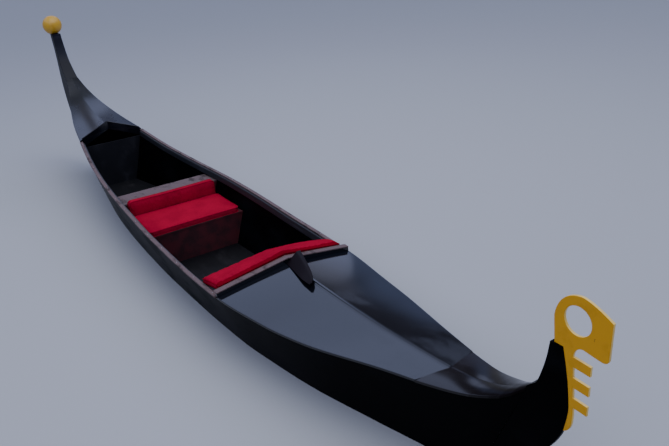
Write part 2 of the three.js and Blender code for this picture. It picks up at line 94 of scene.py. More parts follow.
def linear(colour: str, alpha: float = 1.0) -> tuple[float, float, float, float]:
    """Turn an sRGB hex colour into linear light.

    Args:
        colour: six hex digits with a leading hash.
        alpha: opacity of the result.

    Returns:
        Linear red, green, blue and alpha.
    """
    channels = (int(colour[i:i + 2], 16) / 255 for i in (1, 3, 5))
    light = [c / 12.92 if c <= 0.04045 else ((c + 0.055) / 1.055) ** 2.4 for c in channels]
    return light[0], light[1], light[2], alpha


def add_node(tree: bpy.types.NodeTree, kind: str, values: dict | None = None,
             links: dict | None = None, **settings: object) -> bpy.types.Node:
    """Add one shader node.

    Args:
        tree: the node tree that takes it.
        kind: Blender's name of the node type.
        values: fixed values by input name or number.
        links: output sockets by the input name or number that they feed.
        settings: the node's own properties.

    Returns:
        The new node.
    """
    made = tree.nodes.new(kind)
    for name, value in settings.items():
        setattr(made, name, value)
    for key, value in (values or {}).items():
        made.inputs[key].default_value = value
    for key, socket in (links or {}).items():
        tree.links.new(socket, made.inputs[key])
    return made


# Finishes

@dataclass(frozen=True)
class Pattern:
    """Random patches, specks or streaks on a surface, by their real size in millimetres.

    The sizes are along x, y and z. The value is noise of the piece's own coordinates, about 0.5 on
    average. Where it has limits, it is nothing below the lower one and rises smoothly to its
    strength at the upper one.
    """

    size_mm: tuple[float, float, float]
    detail: float = 3.0
    rough: float = 0.5
    limits: tuple[float, float] | None = None
    strength: float = 1.0

    def value(self, tree: bpy.types.NodeTree) -> bpy.types.NodeSocket:
        """Add the pattern's nodes.

        Args:
            tree: the material's node tree.

        Returns:
            The pattern's value over the surface.
        """
        where = add_node(tree, "ShaderNodeTexCoord")
        scaled = add_node(tree, "ShaderNodeMapping", {"Scale": [1 / (size * MM) for size in self.size_mm]},
                          {"Vector": where.outputs["Object"]})
        noise = add_node(tree, "ShaderNodeTexNoise",
                         {"Scale": 1.0, "Detail": self.detail, "Roughness": self.rough},
                         {"Vector": scaled.outputs["Vector"]})
        if self.limits is None:
            return noise.outputs["Fac"]
        low, high = self.limits
        spots = add_node(tree, "ShaderNodeMapRange",
                         {"From Min": low, "From Max": high, "To Min": 0.0, "To Max": self.strength},
                         {"Value": noise.outputs["Fac"]}, interpolation_type="SMOOTHSTEP")
        return spots.outputs["Result"]


@dataclass(frozen=True)
class Finish:
    """What every finish has: a name, a colour, and the shader's own fixed values."""

    name: str
    colour: str
    roughness: float = 0.5
    gloss: float = 0.5
    metallic: float = 0.0

    def material(self) -> bpy.types.Material:
        """Make the Blender material on first use.

        Returns:
            The material.
        """
        found = bpy.data.materials.get(self.name)
        if found is not None:
            return found
        made = bpy.data.materials.new(self.name)
        made.use_nodes = True
        tree = made.node_tree
        shader = tree.nodes["Principled BSDF"]
        fixed = {"Base Color": linear(self.colour), "Roughness": self.roughness,
                 "Specular IOR Level": self.gloss, "Metallic": self.metallic}
        for key, value in fixed.items():
            shader.inputs[key].default_value = value
        self.dress(tree, shader)
        return made

    def dress(self, tree: bpy.types.NodeTree, shader: bpy.types.Node) -> None:
        """Add the finish's own patterns; the plain finish has none."""

    def coat(self, tree: bpy.types.NodeTree, shader: bpy.types.Node,
             layers: Sequence[tuple[bpy.types.NodeSocket, str]]) -> None:
        """Lay colours over the finish's own, one on the other.

        Args:
            tree: the material's node tree.
            shader: its shader.
            layers: for each colour, its share over the surface and its hex value.
        """
        under = None
        # a colour mix takes its share at input 0 and its colours at 6 and 7, and gives output 2
        for share, colour in layers:
            links = {0: share} if under is None else {0: share, 6: under}
            under = add_node(tree, "ShaderNodeMix", {6: linear(self.colour), 7: linear(colour)}, links,
                             data_type="RGBA").outputs[2]
        tree.links.new(under, shader.inputs["Base Color"])

    def dull(self, tree: bpy.types.NodeTree, shader: bpy.types.Node, share: bpy.types.NodeSocket,
             full: float, roughness: float) -> None:
        """Carry the roughness smoothly from the finish's own to another.

        Args:
            tree: the material's node tree.
            shader: its shader.
            share: how much there is over the surface of what dulls it.
            full: the share at which the other roughness is reached.
            roughness: that roughness.
        """
        rough = add_node(tree, "ShaderNodeMapRange",
                         {"From Min": 0.0, "From Max": full, "To Min": self.roughness, "To Max": roughness},
                         {"Value": share}, interpolation_type="SMOOTHSTEP")
        tree.links.new(rough.outputs["Result"], shader.inputs["Roughness"])

    def relief(self, tree: bpy.types.NodeTree, shader: bpy.types.Node,
               heights: Sequence[tuple[bpy.types.NodeSocket, float]]) -> None:
        """Give the shader bumps, one on the other.

        Args:
            tree: the material's node tree.
            shader: its shader.
            heights: for each bump, its height over the surface and its depth in millimetres.
        """
        normal = None
        for height, depth_mm in heights:
            links = {"Height": height} if normal is None else {"Height": height, "Normal": normal}
            normal = add_node(tree, "ShaderNodeBump", {"Strength": 1.0, "Distance": depth_mm * MM},
                              links).outputs["Normal"]
        tree.links.new(normal, shader.inputs["Normal"])


@dataclass(frozen=True)
class BoatEnamel(Finish):
    """Black alkyd enamel, brushed and rolled on marine ply.

    It gives the eye a deep mirror that waves a little with the brush and the ply under it,
    with a thin dull film of dust and dried spray in patches.
    """

    film: str = "#14161c"
    film_rough: float = 0.22
    wave_mm: float = 1.2
    brush_mm: float = 0.05
    patches: Pattern = Pattern((769, 385, 385), 5.0, 0.6, (0.48, 0.72))
    specks: Pattern = Pattern((16.67, 16.67, 16.67), 2.0, 0.5, (0.66, 0.76), 0.5)
    waves: Pattern = Pattern((909, 455, 455), 1.0)
    brush_marks: Pattern = Pattern((143, 11.11, 11.11), 2.0)

    def dress(self, tree: bpy.types.NodeTree, shader: bpy.types.Node) -> None:
        """Add dust film, brush marks and the long waves of the ply.

        Args:
            tree: the material's node tree.
            shader: its shader.
        """
        film = add_node(tree, "ShaderNodeMath", operation="MAXIMUM",
                        links={0: self.patches.value(tree), 1: self.specks.value(tree)}).outputs[0]
        self.coat(tree, shader, [(film, self.film)])
        self.dull(tree, shader, film, 1.0, self.film_rough)
        self.relief(tree, shader, [(self.waves.value(tree), self.wave_mm),
                                   (self.brush_marks.value(tree), self.brush_mm)])


@dataclass(frozen=True)
class TrimPaint(Finish):
    """Grey paint on timber strips, weathered.

    It gives the eye a chalky mid grey with long grain under it, darker where hands and ropes
    have worn it thin.
    """

    worn: str = "#4a4648"
    grain: str = "#a5a3a8"
    dent: str = "#2b292b"
    worn_rougher: float = 0.25
    grain_mm: float = 0.25
    dent_mm: float = 0.4
    fibres: Pattern = Pattern((286, 6.25, 6.25), 3.0, 0.6)
    wear: Pattern = Pattern((200, 111, 111), 6.0, 0.62, (0.5, 0.66), 0.85)
    dents: Pattern = Pattern((22.22, 14.29, 14.29), 2.0, 0.5, (0.68, 0.74), 0.7)

    def dress(self, tree: bpy.types.NodeTree, shader: bpy.types.Node) -> None:
        """Add grain along the boat, wear in patches and small dark dents.

        Args:
            tree: the material's node tree.
            shader: its shader.
        """
        fibres, wear, dents = (pattern.value(tree) for pattern in (self.fibres, self.wear, self.dents))
        self.coat(tree, shader, [(fibres, self.grain), (wear, self.worn), (dents, self.dent)])
        self.dull(tree, shader, wear, self.wear.strength, self.roughness + self.worn_rougher)
        self.relief(tree, shader, [(fibres, self.grain_mm), (dents, -self.dent_mm)])


@dataclass(frozen=True)
class SatinPaint(Finish):
    """Satin black paint on marine ply, as inside the cockpit.

    It gives the eye a soft dark sheen, with grey scuffs where feet and bags rub.
    """

    scuff: str = "#35343a"
    scuffed: float = 0.5
    scuffed_rougher: float = 0.2
    scuffed_fully: float = 0.6
    brush_mm: float = 0.12
    rubbed: Pattern = Pattern((333, 167, 250), 7.0, 0.68, (0.5, 0.75))
    streaks: Pattern = Pattern((250, 8.333, 16.67), 2.0, 0.5, (0.6, 0.8), 0.4)
    brush_marks: Pattern = Pattern((167, 9.091, 9.091), 2.0)

    def dress(self, tree: bpy.types.NodeTree, shader: bpy.types.Node) -> None:
        """Add scuffs, brush marks along the boards and a little dust.

        Args:
            tree: the material's node tree.
            shader: its shader.
        """
        rubbed = replace(self.rubbed, strength=self.scuffed)
        marks = add_node(tree, "ShaderNodeMath", operation="MAXIMUM",
                         links={0: rubbed.value(tree), 1: self.streaks.value(tree)}).outputs[0]
        self.coat(tree, shader, [(marks, self.scuff)])
        self.dull(tree, shader, marks, self.scuffed_fully, self.roughness + self.scuffed_rougher)
        self.relief(tree, shader, [(self.brush_marks.value(tree), self.brush_mm)])


@dataclass(frozen=True)
class GoldEnamel(Finish):
    """Golden yellow enamel, brushed on metal and turned wood.

    It gives the eye a warm yellow with a soft shine, a little browner where grime has settled.
    """

    grime: str = "#a36f12"
    chip: str = "#7a5414"
    peel_mm: float = 0.08
    chip_mm: float = 0.2
    settled: Pattern = Pattern((143, 143, 143), 6.0, 0.6, (0.5, 0.75), 0.5)
    chips: Pattern = Pattern((18.18, 18.18, 18.18), 2.0, 0.5, (0.72, 0.76), 0.8)
    peel: Pattern = Pattern((7.692, 7.692, 7.692), 1.0)

    def dress(self, tree: bpy.types.NodeTree, shader: bpy.types.Node) -> None:
        """Add grime in patches, small chips and an orange-peel surface.

        Args:
            tree: the material's node tree.
            shader: its shader.
        """
        settled, chips, peel = (pattern.value(tree) for pattern in (self.settled, self.chips, self.peel))
        self.coat(tree, shader, [(settled, self.grime), (chips, self.chip)])
        self.relief(tree, shader, [(peel, self.peel_mm), (chips, -self.chip_mm)])


@dataclass(frozen=True)
class WovenCloth(Finish):
    """Plain-weave outdoor cloth in bright red, pulled over foam.

    It gives the eye a matt crimson with a faint fibre sheen. The threads are really 0.6 mm apart,
    which is too fine to show; they are drawn at the spacing below, about two dots of the render.
    """

    shade: str = "#7e0a1d"
    thread_mm: float = 18.86
    crooked: float = 0.6
    weave_mm: float = 0.5
    slub_mm: float = 0.2
    faded: Pattern = Pattern((250, 250, 250), 4.0, 0.6, (0.35, 0.7), 0.45)
    slubs: Pattern = Pattern((6.25, 25, 6.25), 2.0, 0.5, (0.45, 0.8), 0.6)

    def dress(self, tree: bpy.types.NodeTree, shader: bpy.types.Node) -> None:
        """Add warp and weft from the piece's own UV map, slubs and faded patches.

        Blender's wave texture turns 20 radians in a metre at a scale of 1, so threads that are s
        apart take a scale of 2 pi over 20 s.

        Args:
            tree: the material's node tree.
            shader: its shader.
        """
        where = add_node(tree, "ShaderNodeUVMap", uv_map="cloth")
        scale = 2 * math.pi / (20 * self.thread_mm * MM)
        warp, weft = (add_node(tree, "ShaderNodeTexWave",
                               {"Scale": scale, "Distortion": self.crooked, "Detail": 1.0},
                               {"Vector": where.outputs["UV"]}, bands_direction=direction)
                      for direction in ("X", "Y"))
        weave = add_node(tree, "ShaderNodeMath", operation="MULTIPLY",
                         links={0: warp.outputs["Fac"], 1: weft.outputs["Fac"]})
        slubs = self.slubs.value(tree)
        self.coat(tree, shader, [(self.faded.value(tree), self.shade), (slubs, self.shade)])
        self.relief(tree, shader, [(weave.outputs[0], self.weave_mm), (slubs, self.slub_mm)])


@dataclass(frozen=True)
class CutPile(Finish):
    """Dark red cut-pile carpet, glued to the seat's boards.

    It gives the eye no shine at all, and a mottled pile that lies in drifts.
    """

    deep: str = "#2a050b"
    pile_mm: float = 2.5
    tufts: Pattern = Pattern((3.846, 3.846, 3.846), 2.0, 0.7)
    drifts: Pattern = Pattern((125, 125, 125), 4.0, 0.5, (0.35, 0.7))

    def dress(self, tree: bpy.types.NodeTree, shader: bpy.types.Node) -> None:
        """Add tufts, about 4 mm apart, and the drifts in which the pile lies.

        Args:
            tree: the material's node tree.
            shader: its shader.
        """
        tufts = self.tufts.value(tree)
        self.coat(tree, shader, [(self.drifts.value(tree), self.deep), (tufts, self.deep)])
        self.relief(tree, shader, [(tufts, self.pile_mm)])


DECK_BLACK = BoatEnamel("deck_black_enamel", "#0a0c12", 0.1)
BOW_BLACK = BoatEnamel("bow_black_enamel", "#0d090a", 0.14, gloss=0.32, film="#171215", wave_mm=3.0)
AFTERDECK_BLACK = BoatEnamel("afterdeck_black_enamel", "#0a0c14", 0.24, gloss=0.38, film="#151824",
                             film_rough=0.34)
# for the stern post's front and back; its side faces take the darker topside enamel instead, as painted shade
POST_BLACK = BoatEnamel("stern_post_black_enamel", "#0b0c16", 0.28, gloss=0.16, film="#171a2a",
                        film_rough=0.38)
HORN_BLACK = BoatEnamel("horn_black_enamel", "#150f13", 0.34, gloss=0.05, film="#1f171b", film_rough=0.42)
SIDE_BLACK = BoatEnamel("topside_black_enamel", "#040405", 0.3, gloss=0.012, film="#0a0b0e", film_rough=0.4)
INNER_BLACK = SatinPaint("cockpit_satin_black", "#131418", 0.38)
# satin black for the sole boards and the platform, darker than the cockpit's: partly its own paint, partly
# painted shade
SHADED_SOLE_BLACK = SatinPaint("sole_satin_black_painted_shade", "#0d0d10", 0.55, gloss=0.2, scuff="#252225", scuffed=0.6)
GREY_TRIM = TrimPaint("weathered_grey_paint", "#554545", 0.5, gloss=0.15, worn="#342c2c", grain="#6b5958")
GOLD = GoldEnamel("golden_yellow_enamel", "#cf9406", 0.33, gloss=0.2)
# paler gold for the iron's bevels, rims and upward faces: a painted highlight
GOLD_HIGHLIGHT = GoldEnamel("gold_enamel_painted_highlight", "#e3c05e", 0.3, gloss=0.4)
BALL_GOLD = GoldEnamel("ball_golden_enamel", "#c4961a", 0.36, gloss=0.62)
RED_CLOTH = WovenCloth("crimson_woven_cloth", "#a1142f", 0.9, gloss=0.0, shade="#7c1024")
# a darker copy of the red cloth for the shelf cover's front roll and its piping: painted shade
SHADED_RED_CLOTH = WovenCloth("red_cloth_painted_shade", "#7c0a1a", 0.9, gloss=0.0, shade="#5a0714")
RED_CARPET = CutPile("dark_red_carpet", "#5c0d1a", 0.95)
FLOOR_PAINT = Finish("pale_floor_paint", "#a5a6a8", 0.9, gloss=0.1)
STEEL = Finish("stainless_screw_heads", "#8f9094", 0.35, metallic=1.0)


# Surfaces as arrays

@dataclass(frozen=True)
class Shell:
    """A closed mesh on its way to an object."""

    points: np.ndarray
    faces: list[list[int]]
    uv: np.ndarray | None = None

    def mirrored(self) -> Shell:
        """Return the same shell on the other side of the boat."""
        return Shell(self.points * (1, -1, 1), [face[::-1] for face in self.faces])

    def volume(self) -> float:
        """Sum the volumes between the origin and each triangle: a dot (b cross c) over 6.

        Returns:
            The enclosed volume, negative where the faces point inwards.
        """
        fans = [(f[0], f[i], f[i + 1]) for f in self.faces for i in range(1, len(f) - 1)]
        a, b, c = (self.points[np.array(fans)[:, k]] for k in range(3))
        return float(np.einsum("ij,ij->i", a, np.cross(b, c)).sum() / 6)


def joined(shells: Sequence[Shell]) -> Shell:
    """Put several shells into one mesh.

    Args:
        shells: the shells, without UV maps.

    Returns:
        The shell that holds them all.
    """
    starts = np.cumsum([0] + [len(shell.points) for shell in shells])
    faces = [[i + int(start) for i in face]
             for shell, start in zip(shells, starts) for face in shell.faces]
    return Shell(np.concatenate([shell.points for shell in shells]), faces)


def mix(low: np.ndarray | float, high: np.ndarray | float, share: np.ndarray | float
        ) -> np.ndarray | float:
    """Return the value this share of the way from low to high."""
    return low + (high - low) * share


def smooth_line(places: Sequence[float], values: Sequence[float]
                ) -> Callable[[np.ndarray], np.ndarray]:
    """Make a smooth line through rows that never overshoots them.

    Between two rows it is a cubic. The slope at a row is the harmonic mean of the slopes on
    both sides of it, or level where they have opposite signs.

    Args:
        places: where the rows are, in either order.
        values: the value at each row.

    Returns:
        A function from places to values, which holds its ends outside the rows.
    """
    order = np.argsort(places)
    x, y = np.asarray(places, float)[order], np.asarray(values, float)[order]
    slope = np.diff(y) / np.diff(x)
    before, after = np.append(slope[:1], slope), np.append(slope, slope[-1:])
    same_way = before * after > 0
    tangent = np.where(same_way, 2 * before * after / np.where(same_way, before + after, 1), 0)

    def line(at: np.ndarray) -> np.ndarray:
        """Work the cubic out between the rows on either side of each place.

        Args:
            at: the places.

        Returns:
            The line's values there.
        """
        at = np.clip(at, x[0], x[-1])
        i = np.clip(np.searchsorted(x, at) - 1, 0, len(x) - 2)
        width = x[i + 1] - x[i]
        t = (at - x[i]) / width
        rise = (2 * t**3 - 3 * t**2 + 1) * y[i] + (3 * t**2 - 2 * t**3) * y[i + 1]
        bend = (t**3 - 2 * t**2 + t) * tangent[i] + (t**3 - t**2) * tangent[i + 1]
        return rise + width * bend

    return line


def grid_faces(rows: int, columns: int, wrap_rows: bool, wrap_columns: bool) -> np.ndarray:
    """Number the four-sided faces of a grid of points.

    Args:
        rows: points along the first parameter.
        columns: points along the second parameter.
        wrap_rows: whether the last row meets the first.
        wrap_columns: whether the last column meets the first.

    Returns:
        An array of four point numbers to a face.
    """
    r, c = np.meshgrid(np.arange(rows - (not wrap_rows)), np.arange(columns - (not wrap_columns)),
                       indexing="ij")
    up, right = (r + 1) % rows, (c + 1) % columns
    corners = (r * columns + c, r * columns + right, up * columns + right, up * columns + c)
    return np.stack(corners, -1).reshape(-1, 4)


def fan(pole: int, first: int, size: int, turn: int) -> list[list[int]]:
    """Number the triangles between a middle point and a ring of points.

    Args:
        pole: the middle point's number.
        first: the number of the ring's first point.
        size: how many points the ring has.
        turn: 1 to go round the ring in its own order, -1 to go against it.

    Returns:
        Three point numbers to a triangle.
    """
    ring = [first + i for i in range(size)][::turn]
    return [[pole, ring[i], ring[(i + 1) % size]] for i in range(size)]


def tube(rings: np.ndarray, looped: bool = False) -> Shell:
    """Carry a closed profile along a path.

    The surface is a function of the place along the path and the place around the profile. Unless
    the path is a loop, each end is closed by a fan from the middle of its ring.

    Args:
        rings: points as path, profile, coordinate.
        looped: whether the last ring meets the first.

    Returns:
        The closed shell.
    """
    count, size = rings.shape[:2]
    points = rings.reshape(-1, 3)
    faces = grid_faces(count, size, looped, True).tolist()
    if not looped:
        points = np.concatenate((points, rings[[0, -1]].mean(1)))
        faces += fan(count * size, 0, size, -1) + fan(count * size + 1, (count - 1) * size, size, 1)
    return Shell(points, faces)


def rounded(corners: np.ndarray, radius: float | np.ndarray, arc: int = 3, flat: int = 6
            ) -> np.ndarray:
    """Round the corners of a section at every station along a piece.

    Each corner is a quadratic curve from one side to the next, tangent to both, and each side
    between two corners is divided more finely near its ends, so that its shading stays flat.

    Args:
        corners: points as station, corner, coordinate.
        radius: length taken off each side at a corner, one value or one to a corner.
        arc: steps round a corner.
        flat: steps along a side.

    Returns:
        Rings as station, place, coordinate.
    """
    before, after = np.roll(corners, 1, 1) - corners, np.roll(corners, -1, 1) - corners
    reach = np.broadcast_to(np.asarray(radius, float), corners.shape[:2])[..., None]
    spans = [np.linalg.norm(side, axis=2, keepdims=True) for side in (before, after)]
    start, end = (corners + side * np.minimum(reach / np.maximum(span, 1e-9), 0.45)
                  for side, span in zip((before, after), spans))
    t = np.linspace(0, 1, arc + 1)[:, None]
    bends = (start[:, :, None] * (1 - t) ** 2 + corners[:, :, None] * 2 * t * (1 - t)
             + end[:, :, None] * t**2)
    share = ((1 - np.cos(np.pi * np.arange(1, flat) / flat)) / 2)[:, None]
    sides = mix(end[:, :, None], np.roll(start, -1, 1)[:, :, None], share)
    rings = np.concatenate((bends, sides), 2)
    return rings.reshape(len(corners), -1, 3)


def lathe(profile: np.ndarray, centre: Sequence[float], sides: int = 64) -> Shell:
    """Turn a profile about an upright axis.

    A point is its radius times the cosine and sine of the turn, at its own height. The first and
    last rows lie on the axis, and each is one point.

    Args:
        profile: rows of radius and height.
        centre: x, y and z that the profile's origin goes to.
        sides: steps in a full turn.

    Returns:
        The closed shell.
    """
    turn = np.linspace(0, 2 * np.pi, sides, endpoint=False)
    radius, height = profile[1:-1, 0, None], profile[1:-1, 1, None]
    rings = np.stack((radius * np.cos(turn), radius * np.sin(turn), height + 0 * turn), -1)
    count = len(rings)
    points = np.concatenate((rings.reshape(-1, 3), [(0, 0, profile[0, 1]), (0, 0, profile[-1, 1])]))
    faces = grid_faces(count, sides, False, True).tolist()
    faces += fan(count * sides, 0, sides, -1) + fan(count * sides + 1, (count - 1) * sides, sides, 1)
    return Shell(points + np.asarray(centre), faces)


def post_shell(hull: np.ndarray, edge: np.ndarray, height: np.ndarray, eased: np.ndarray,
               radius: float) -> Shell:
    """Return a post through level sections, with rounded upright edges.

    Args:
        hull: x and half-width at the hull's side of the post, to a height.
        edge: x and half-width at its outer edge, to a height.
        height: the levels.
        eased: radius of the hull-side corners, to a level.
        radius: radius of the outer corners.

    Returns:
        The closed shell.
    """
    corners = np.stack([np.stack((line[:, 0], sign * line[:, 1], height), -1)
                        for line, sign in ((hull, -1), (edge, -1), (edge, 1), (hull, 1))], 1)
    outer = np.full_like(height, radius)
    return tube(rounded(corners, np.stack((eased, outer, outer, eased), 1), arc=5))


@dataclass(frozen=True)
class Slab:
    """A sewn cover: a top and a bottom grid joined by a strip round their edges."""

    top: np.ndarray
    bottom: np.ndarray
    strips: int = 4

    def edge(self) -> np.ndarray:
        """Go once round the grid's edge.

        Returns:
            The grid numbers of the points there, in order.
        """
        rows, columns = self.top.shape[:2]
        number = np.arange(rows * columns).reshape(rows, columns)
        return np.concatenate((number[0, :-1], number[:-1, -1], number[-1, :0:-1], number[:0:-1, 0]))

    def shell(self) -> Shell:
        """Sew the two grids and the strip into a closed shell with a UV map in metres.

        Returns:
            The shell. Its points are the top grid, the bottom grid, then the strip's inner rows.
        """
        rows, columns = self.top.shape[:2]
        edge, size = self.edge(), rows * columns
        top, bottom = self.top.reshape(-1, 3), self.bottom.reshape(-1, 3)
        between = np.arange(1, self.strips)[:, None, None] / self.strips
        strip = mix(top[edge], bottom[edge], between)
        points = np.concatenate((top, bottom, strip.reshape(-1, 3)))
        flat = grid_faces(rows, columns, False, False)
        wall = np.concatenate((edge[None], 2 * size + np.arange((self.strips - 1) * len(edge))
                               .reshape(-1, len(edge)), size + edge[None]))
        ring = grid_faces(self.strips + 1, len(edge), False, True)
        faces = np.concatenate((flat, (flat + size)[:, ::-1], wall.reshape(-1)[ring][:, ::-1]))
        along = np.linalg.norm(np.diff(top[np.append(edge, edge[0])], axis=0), axis=1)
        around = np.append(0, np.cumsum(along))
        depth = np.linalg.norm(top[edge] - bottom[edge], axis=1).mean()
        column = np.arange(len(edge))
        wall_uv = np.stack(np.broadcast_arrays(
            np.stack((around[column], around[column + 1], around[column + 1], around[column]), -1)[None],
            (np.arange(self.strips)[:, None, None] + np.array((0, 0, 1, 1))) * depth / self.strips), -1)
        uv = np.concatenate((points[flat][..., :2].reshape(-1, 2),
                             points[(flat + size)[:, ::-1]][..., :2].reshape(-1, 2),
                             wall_uv[:, :, ::-1].reshape(-1, 2)))
        return Shell(points, faces.tolist(), uv)

    def seam_points(self) -> list[int]:
        """Return the numbers of the shell's points on its two seams."""
        edge = self.edge()
        return np.concatenate((edge, edge + self.top.shape[0] * self.top.shape[1])).tolist()


# Objects

def vectors(things: bpy.types.bpy_prop_collection, name: str) -> np.ndarray:
    """Read a vector property of a mesh's points or faces.

    Args:
        things: the points or the faces.
        name: the property's name.

    Returns:
        The values, a row of three to each.
    """
    values = np.empty(len(things) * 3)
    things.foreach_get(name, values)
    return values.reshape(-1, 3)


def make_piece(name: str, shell: Shell, finish: Finish,
               replaces: Sequence[str] = (), sharp: float = 38.0) -> bpy.types.Object:
    """Make an object that rides on the boat.

    Args:
        name: the piece's name.
        shell: its closed mesh, which is turned face outwards here.
        finish: what it is finished with.
        replaces: the solids that it stands for.
        sharp: angle between faces, in degrees, over which an edge is drawn sharp.

    Returns:
        The object, at the origin.
    """
    outward = shell.volume() > 0
    faces = shell.faces if outward else [face[::-1] for face in shell.faces]
    mesh = bpy.data.meshes.new(name)
    mesh.from_pydata(shell.points.tolist(), [], faces)
    if shell.uv is not None:
        corners = shell.uv.reshape(-1, 4, 2)
        layer = mesh.uv_layers.new(name="cloth")
        layer.data.foreach_set("uv", (corners if outward else corners[:, ::-1]).ravel())
    mesh.shade_smooth()
    mesh.set_sharp_from_angle(angle=math.radians(sharp))
    mesh.materials.append(finish.material())
    made = bpy.data.objects.new(name, mesh)
    bpy.context.scene.collection.objects.link(made)
    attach(made, BODY)
    if replaces:
        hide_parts(*replaces)
    LOG.info("%s: %d faces, %s", name, len(mesh.polygons), finish.name)
    return made


def make_side(side: Side, name: str, shell: Shell, finish: Finish, node: str = ""
              ) -> bpy.types.Object:
    """Make a piece on one side of the boat.

    Args:
        side: the side.
        name: the piece's name, to which its side is added.
        shell: the starboard piece's closed mesh, which is mirrored for the port side.
        finish: what it is finished with.
        node: the name, without its side, of the solid that it stands for, or nothing.

    Returns:
        The object.
    """
    mesh = shell if side is Side.STARBOARD else shell.mirrored()
    return make_piece(f"{name}_{side.value}", mesh, finish, [f"{node}_{side.value}"] if node else ())


def finish_faces(made: bpy.types.Object, finish: Finish,
                 test: Callable[[np.ndarray, np.ndarray], np.ndarray]) -> None:
    """Give another finish to the faces whose normals and centres pass a test.

    Args:
        made: the piece.
        finish: what those faces are finished with.
        test: a function from normals and centres to whether each face is one of them.
    """
    mesh = made.data
    mesh.materials.append(finish.material())
    numbers = np.empty(len(mesh.polygons), np.int32)
    mesh.polygons.foreach_get("material_index", numbers)
    chosen = test(vectors(mesh.polygons, "normal"), vectors(mesh.polygons, "center"))
    numbers[chosen] = len(mesh.materials) - 1
    mesh.polygons.foreach_set("material_index", numbers)


def sideways(normals: np.ndarray, centres: np.ndarray) -> np.ndarray:
    """Return which faces look out to a side of the boat, to within about 53 degrees."""
    return np.abs(normals[:, 1]) > SIDEWAYS_COSINE


def not_sideways(normals: np.ndarray, centres: np.ndarray) -> np.ndarray:
    """Return which faces don't look out to a side of the boat."""
    return ~sideways(normals, centres)


@dataclass(frozen=True)
class HullLines:
    """The boat's lines, from bow to stern. The values are millimetres, as a builder lofts them."""

    # sheer x, half-breadth, height, chine x, half-breadth, height
    rows: tuple[tuple[float, ...], ...] = (
        (4400, 44, 1030, 4100, 44, 310),
        (4280, 106, 935, 3970, 62, 245),
        (3950, 185, 817, 3630, 120, 140),
        (3430, 312, 750, 3180, 215, 66),
        (2730, 498, 665, 2600, 330, 22),
        (2280, 580, 638, 2200, 385, 15),
        (1680, 655, 632, 1680, 440, 15),
        (960, 674, 640, 960, 465, 15),
        (250, 672, 665, 250, 470, 15),
        (-520, 645, 700, -520, 450, 15),
        (-1320, 590, 722, -1320, 400, 15),
        (-2010, 520, 765, -1960, 335, 34),
        (-2790, 412, 880, -2640, 235, 95),
        (-3320, 325, 970, -3130, 165, 165),
        (-3800, 205, 1130, -3620, 95, 280),
        (-4063, 122, 1290, -3930, 58, 390),
        (-4235, 85, 1405, -4150, 44, 485),
    )
    plank_mm: float = 26
    plank_at_ends_mm: float = 12
    fade_mm: float = 600
    bottom_mm: float = 25
    pitch: float = 0.06

    def column(self, number: int, at: np.ndarray) -> np.ndarray:
        """Return one of the lines, in metres, at these places along the sheer."""
        rows = np.array(self.rows) * MM
        return smooth_line(rows[:, 0], rows[:, number])(at)

    def half(self, at: np.ndarray) -> np.ndarray:
        """Return the sheer's half-breadth."""
        return self.column(1, at)

    def sheer(self, at: np.ndarray) -> np.ndarray:
        """Return the sheer's height."""
        return self.column(2, at)

    @property
    def bow(self) -> float:
        """Return where the sheer ends at the bow."""
        return self.rows[0][0] * MM

    @property
    def stern(self) -> float:
        """Return where the sheer ends at the stern."""
        return self.rows[-1][0] * MM

    def stations(self, start: float | None = None, end: float | None = None) -> np.ndarray:
        """Space places evenly along the hull, about a pitch apart.

        Args:
            start: x of the first, or None for the sheer's end at the bow.
            end: x of the last, or None for the sheer's end at the stern.

        Returns:
            The places' x.
        """
        start = self.bow if start is None else start
        end = self.stern if end is None else end
        return np.linspace(start, end, max(2, round(abs(end - start) / self.pitch)))

    def plank(self, at: np.ndarray) -> np.ndarray:
        """Work out the side planking's thickness, which fades in a straight line to the posts.

        Args:
            at: places along the sheer.

        Returns:
            The thickness there.
        """
        from_end = np.minimum(self.bow - at, at - self.stern)
        share = np.clip(from_end / (self.fade_mm * MM), 0, 1)
        return mix(self.plank_at_ends_mm, self.plank_mm, share) * MM

    def foot(self, at: np.ndarray) -> np.ndarray:
        """Return the planking's foot, on the bottom panel, as points on the starboard side."""
        x, half, z = (self.column(number, at) for number in (3, 4, 5))
        return np.stack((x, -half, z + self.bottom_mm * MM + GAP), -1)

    def head(self, at: np.ndarray) -> np.ndarray:
        """Return the planking's head, as points on the starboard side."""
        return np.stack((at, -self.half(at), self.sheer(at)), -1)

    def inside(self, x: float, z: float) -> float:
        """Work out how wide the hull is inside.

        Args:
            x: the place along the boat.
            z: the level.

        Returns:
            The half-breadth inside the planking there.
        """
        at = self.stations()
        foot, head = self.foot(at), self.head(at)
        up = np.clip((z - foot[:, 2]) / (head[:, 2] - foot[:, 2]), 0, 1)[:, None]
        outer = mix(foot, head, up)
        half = -outer[:, 1] - self.plank(at)
        order = np.argsort(outer[:, 0])
        return float(np.interp(x, outer[order, 0], half[order]))


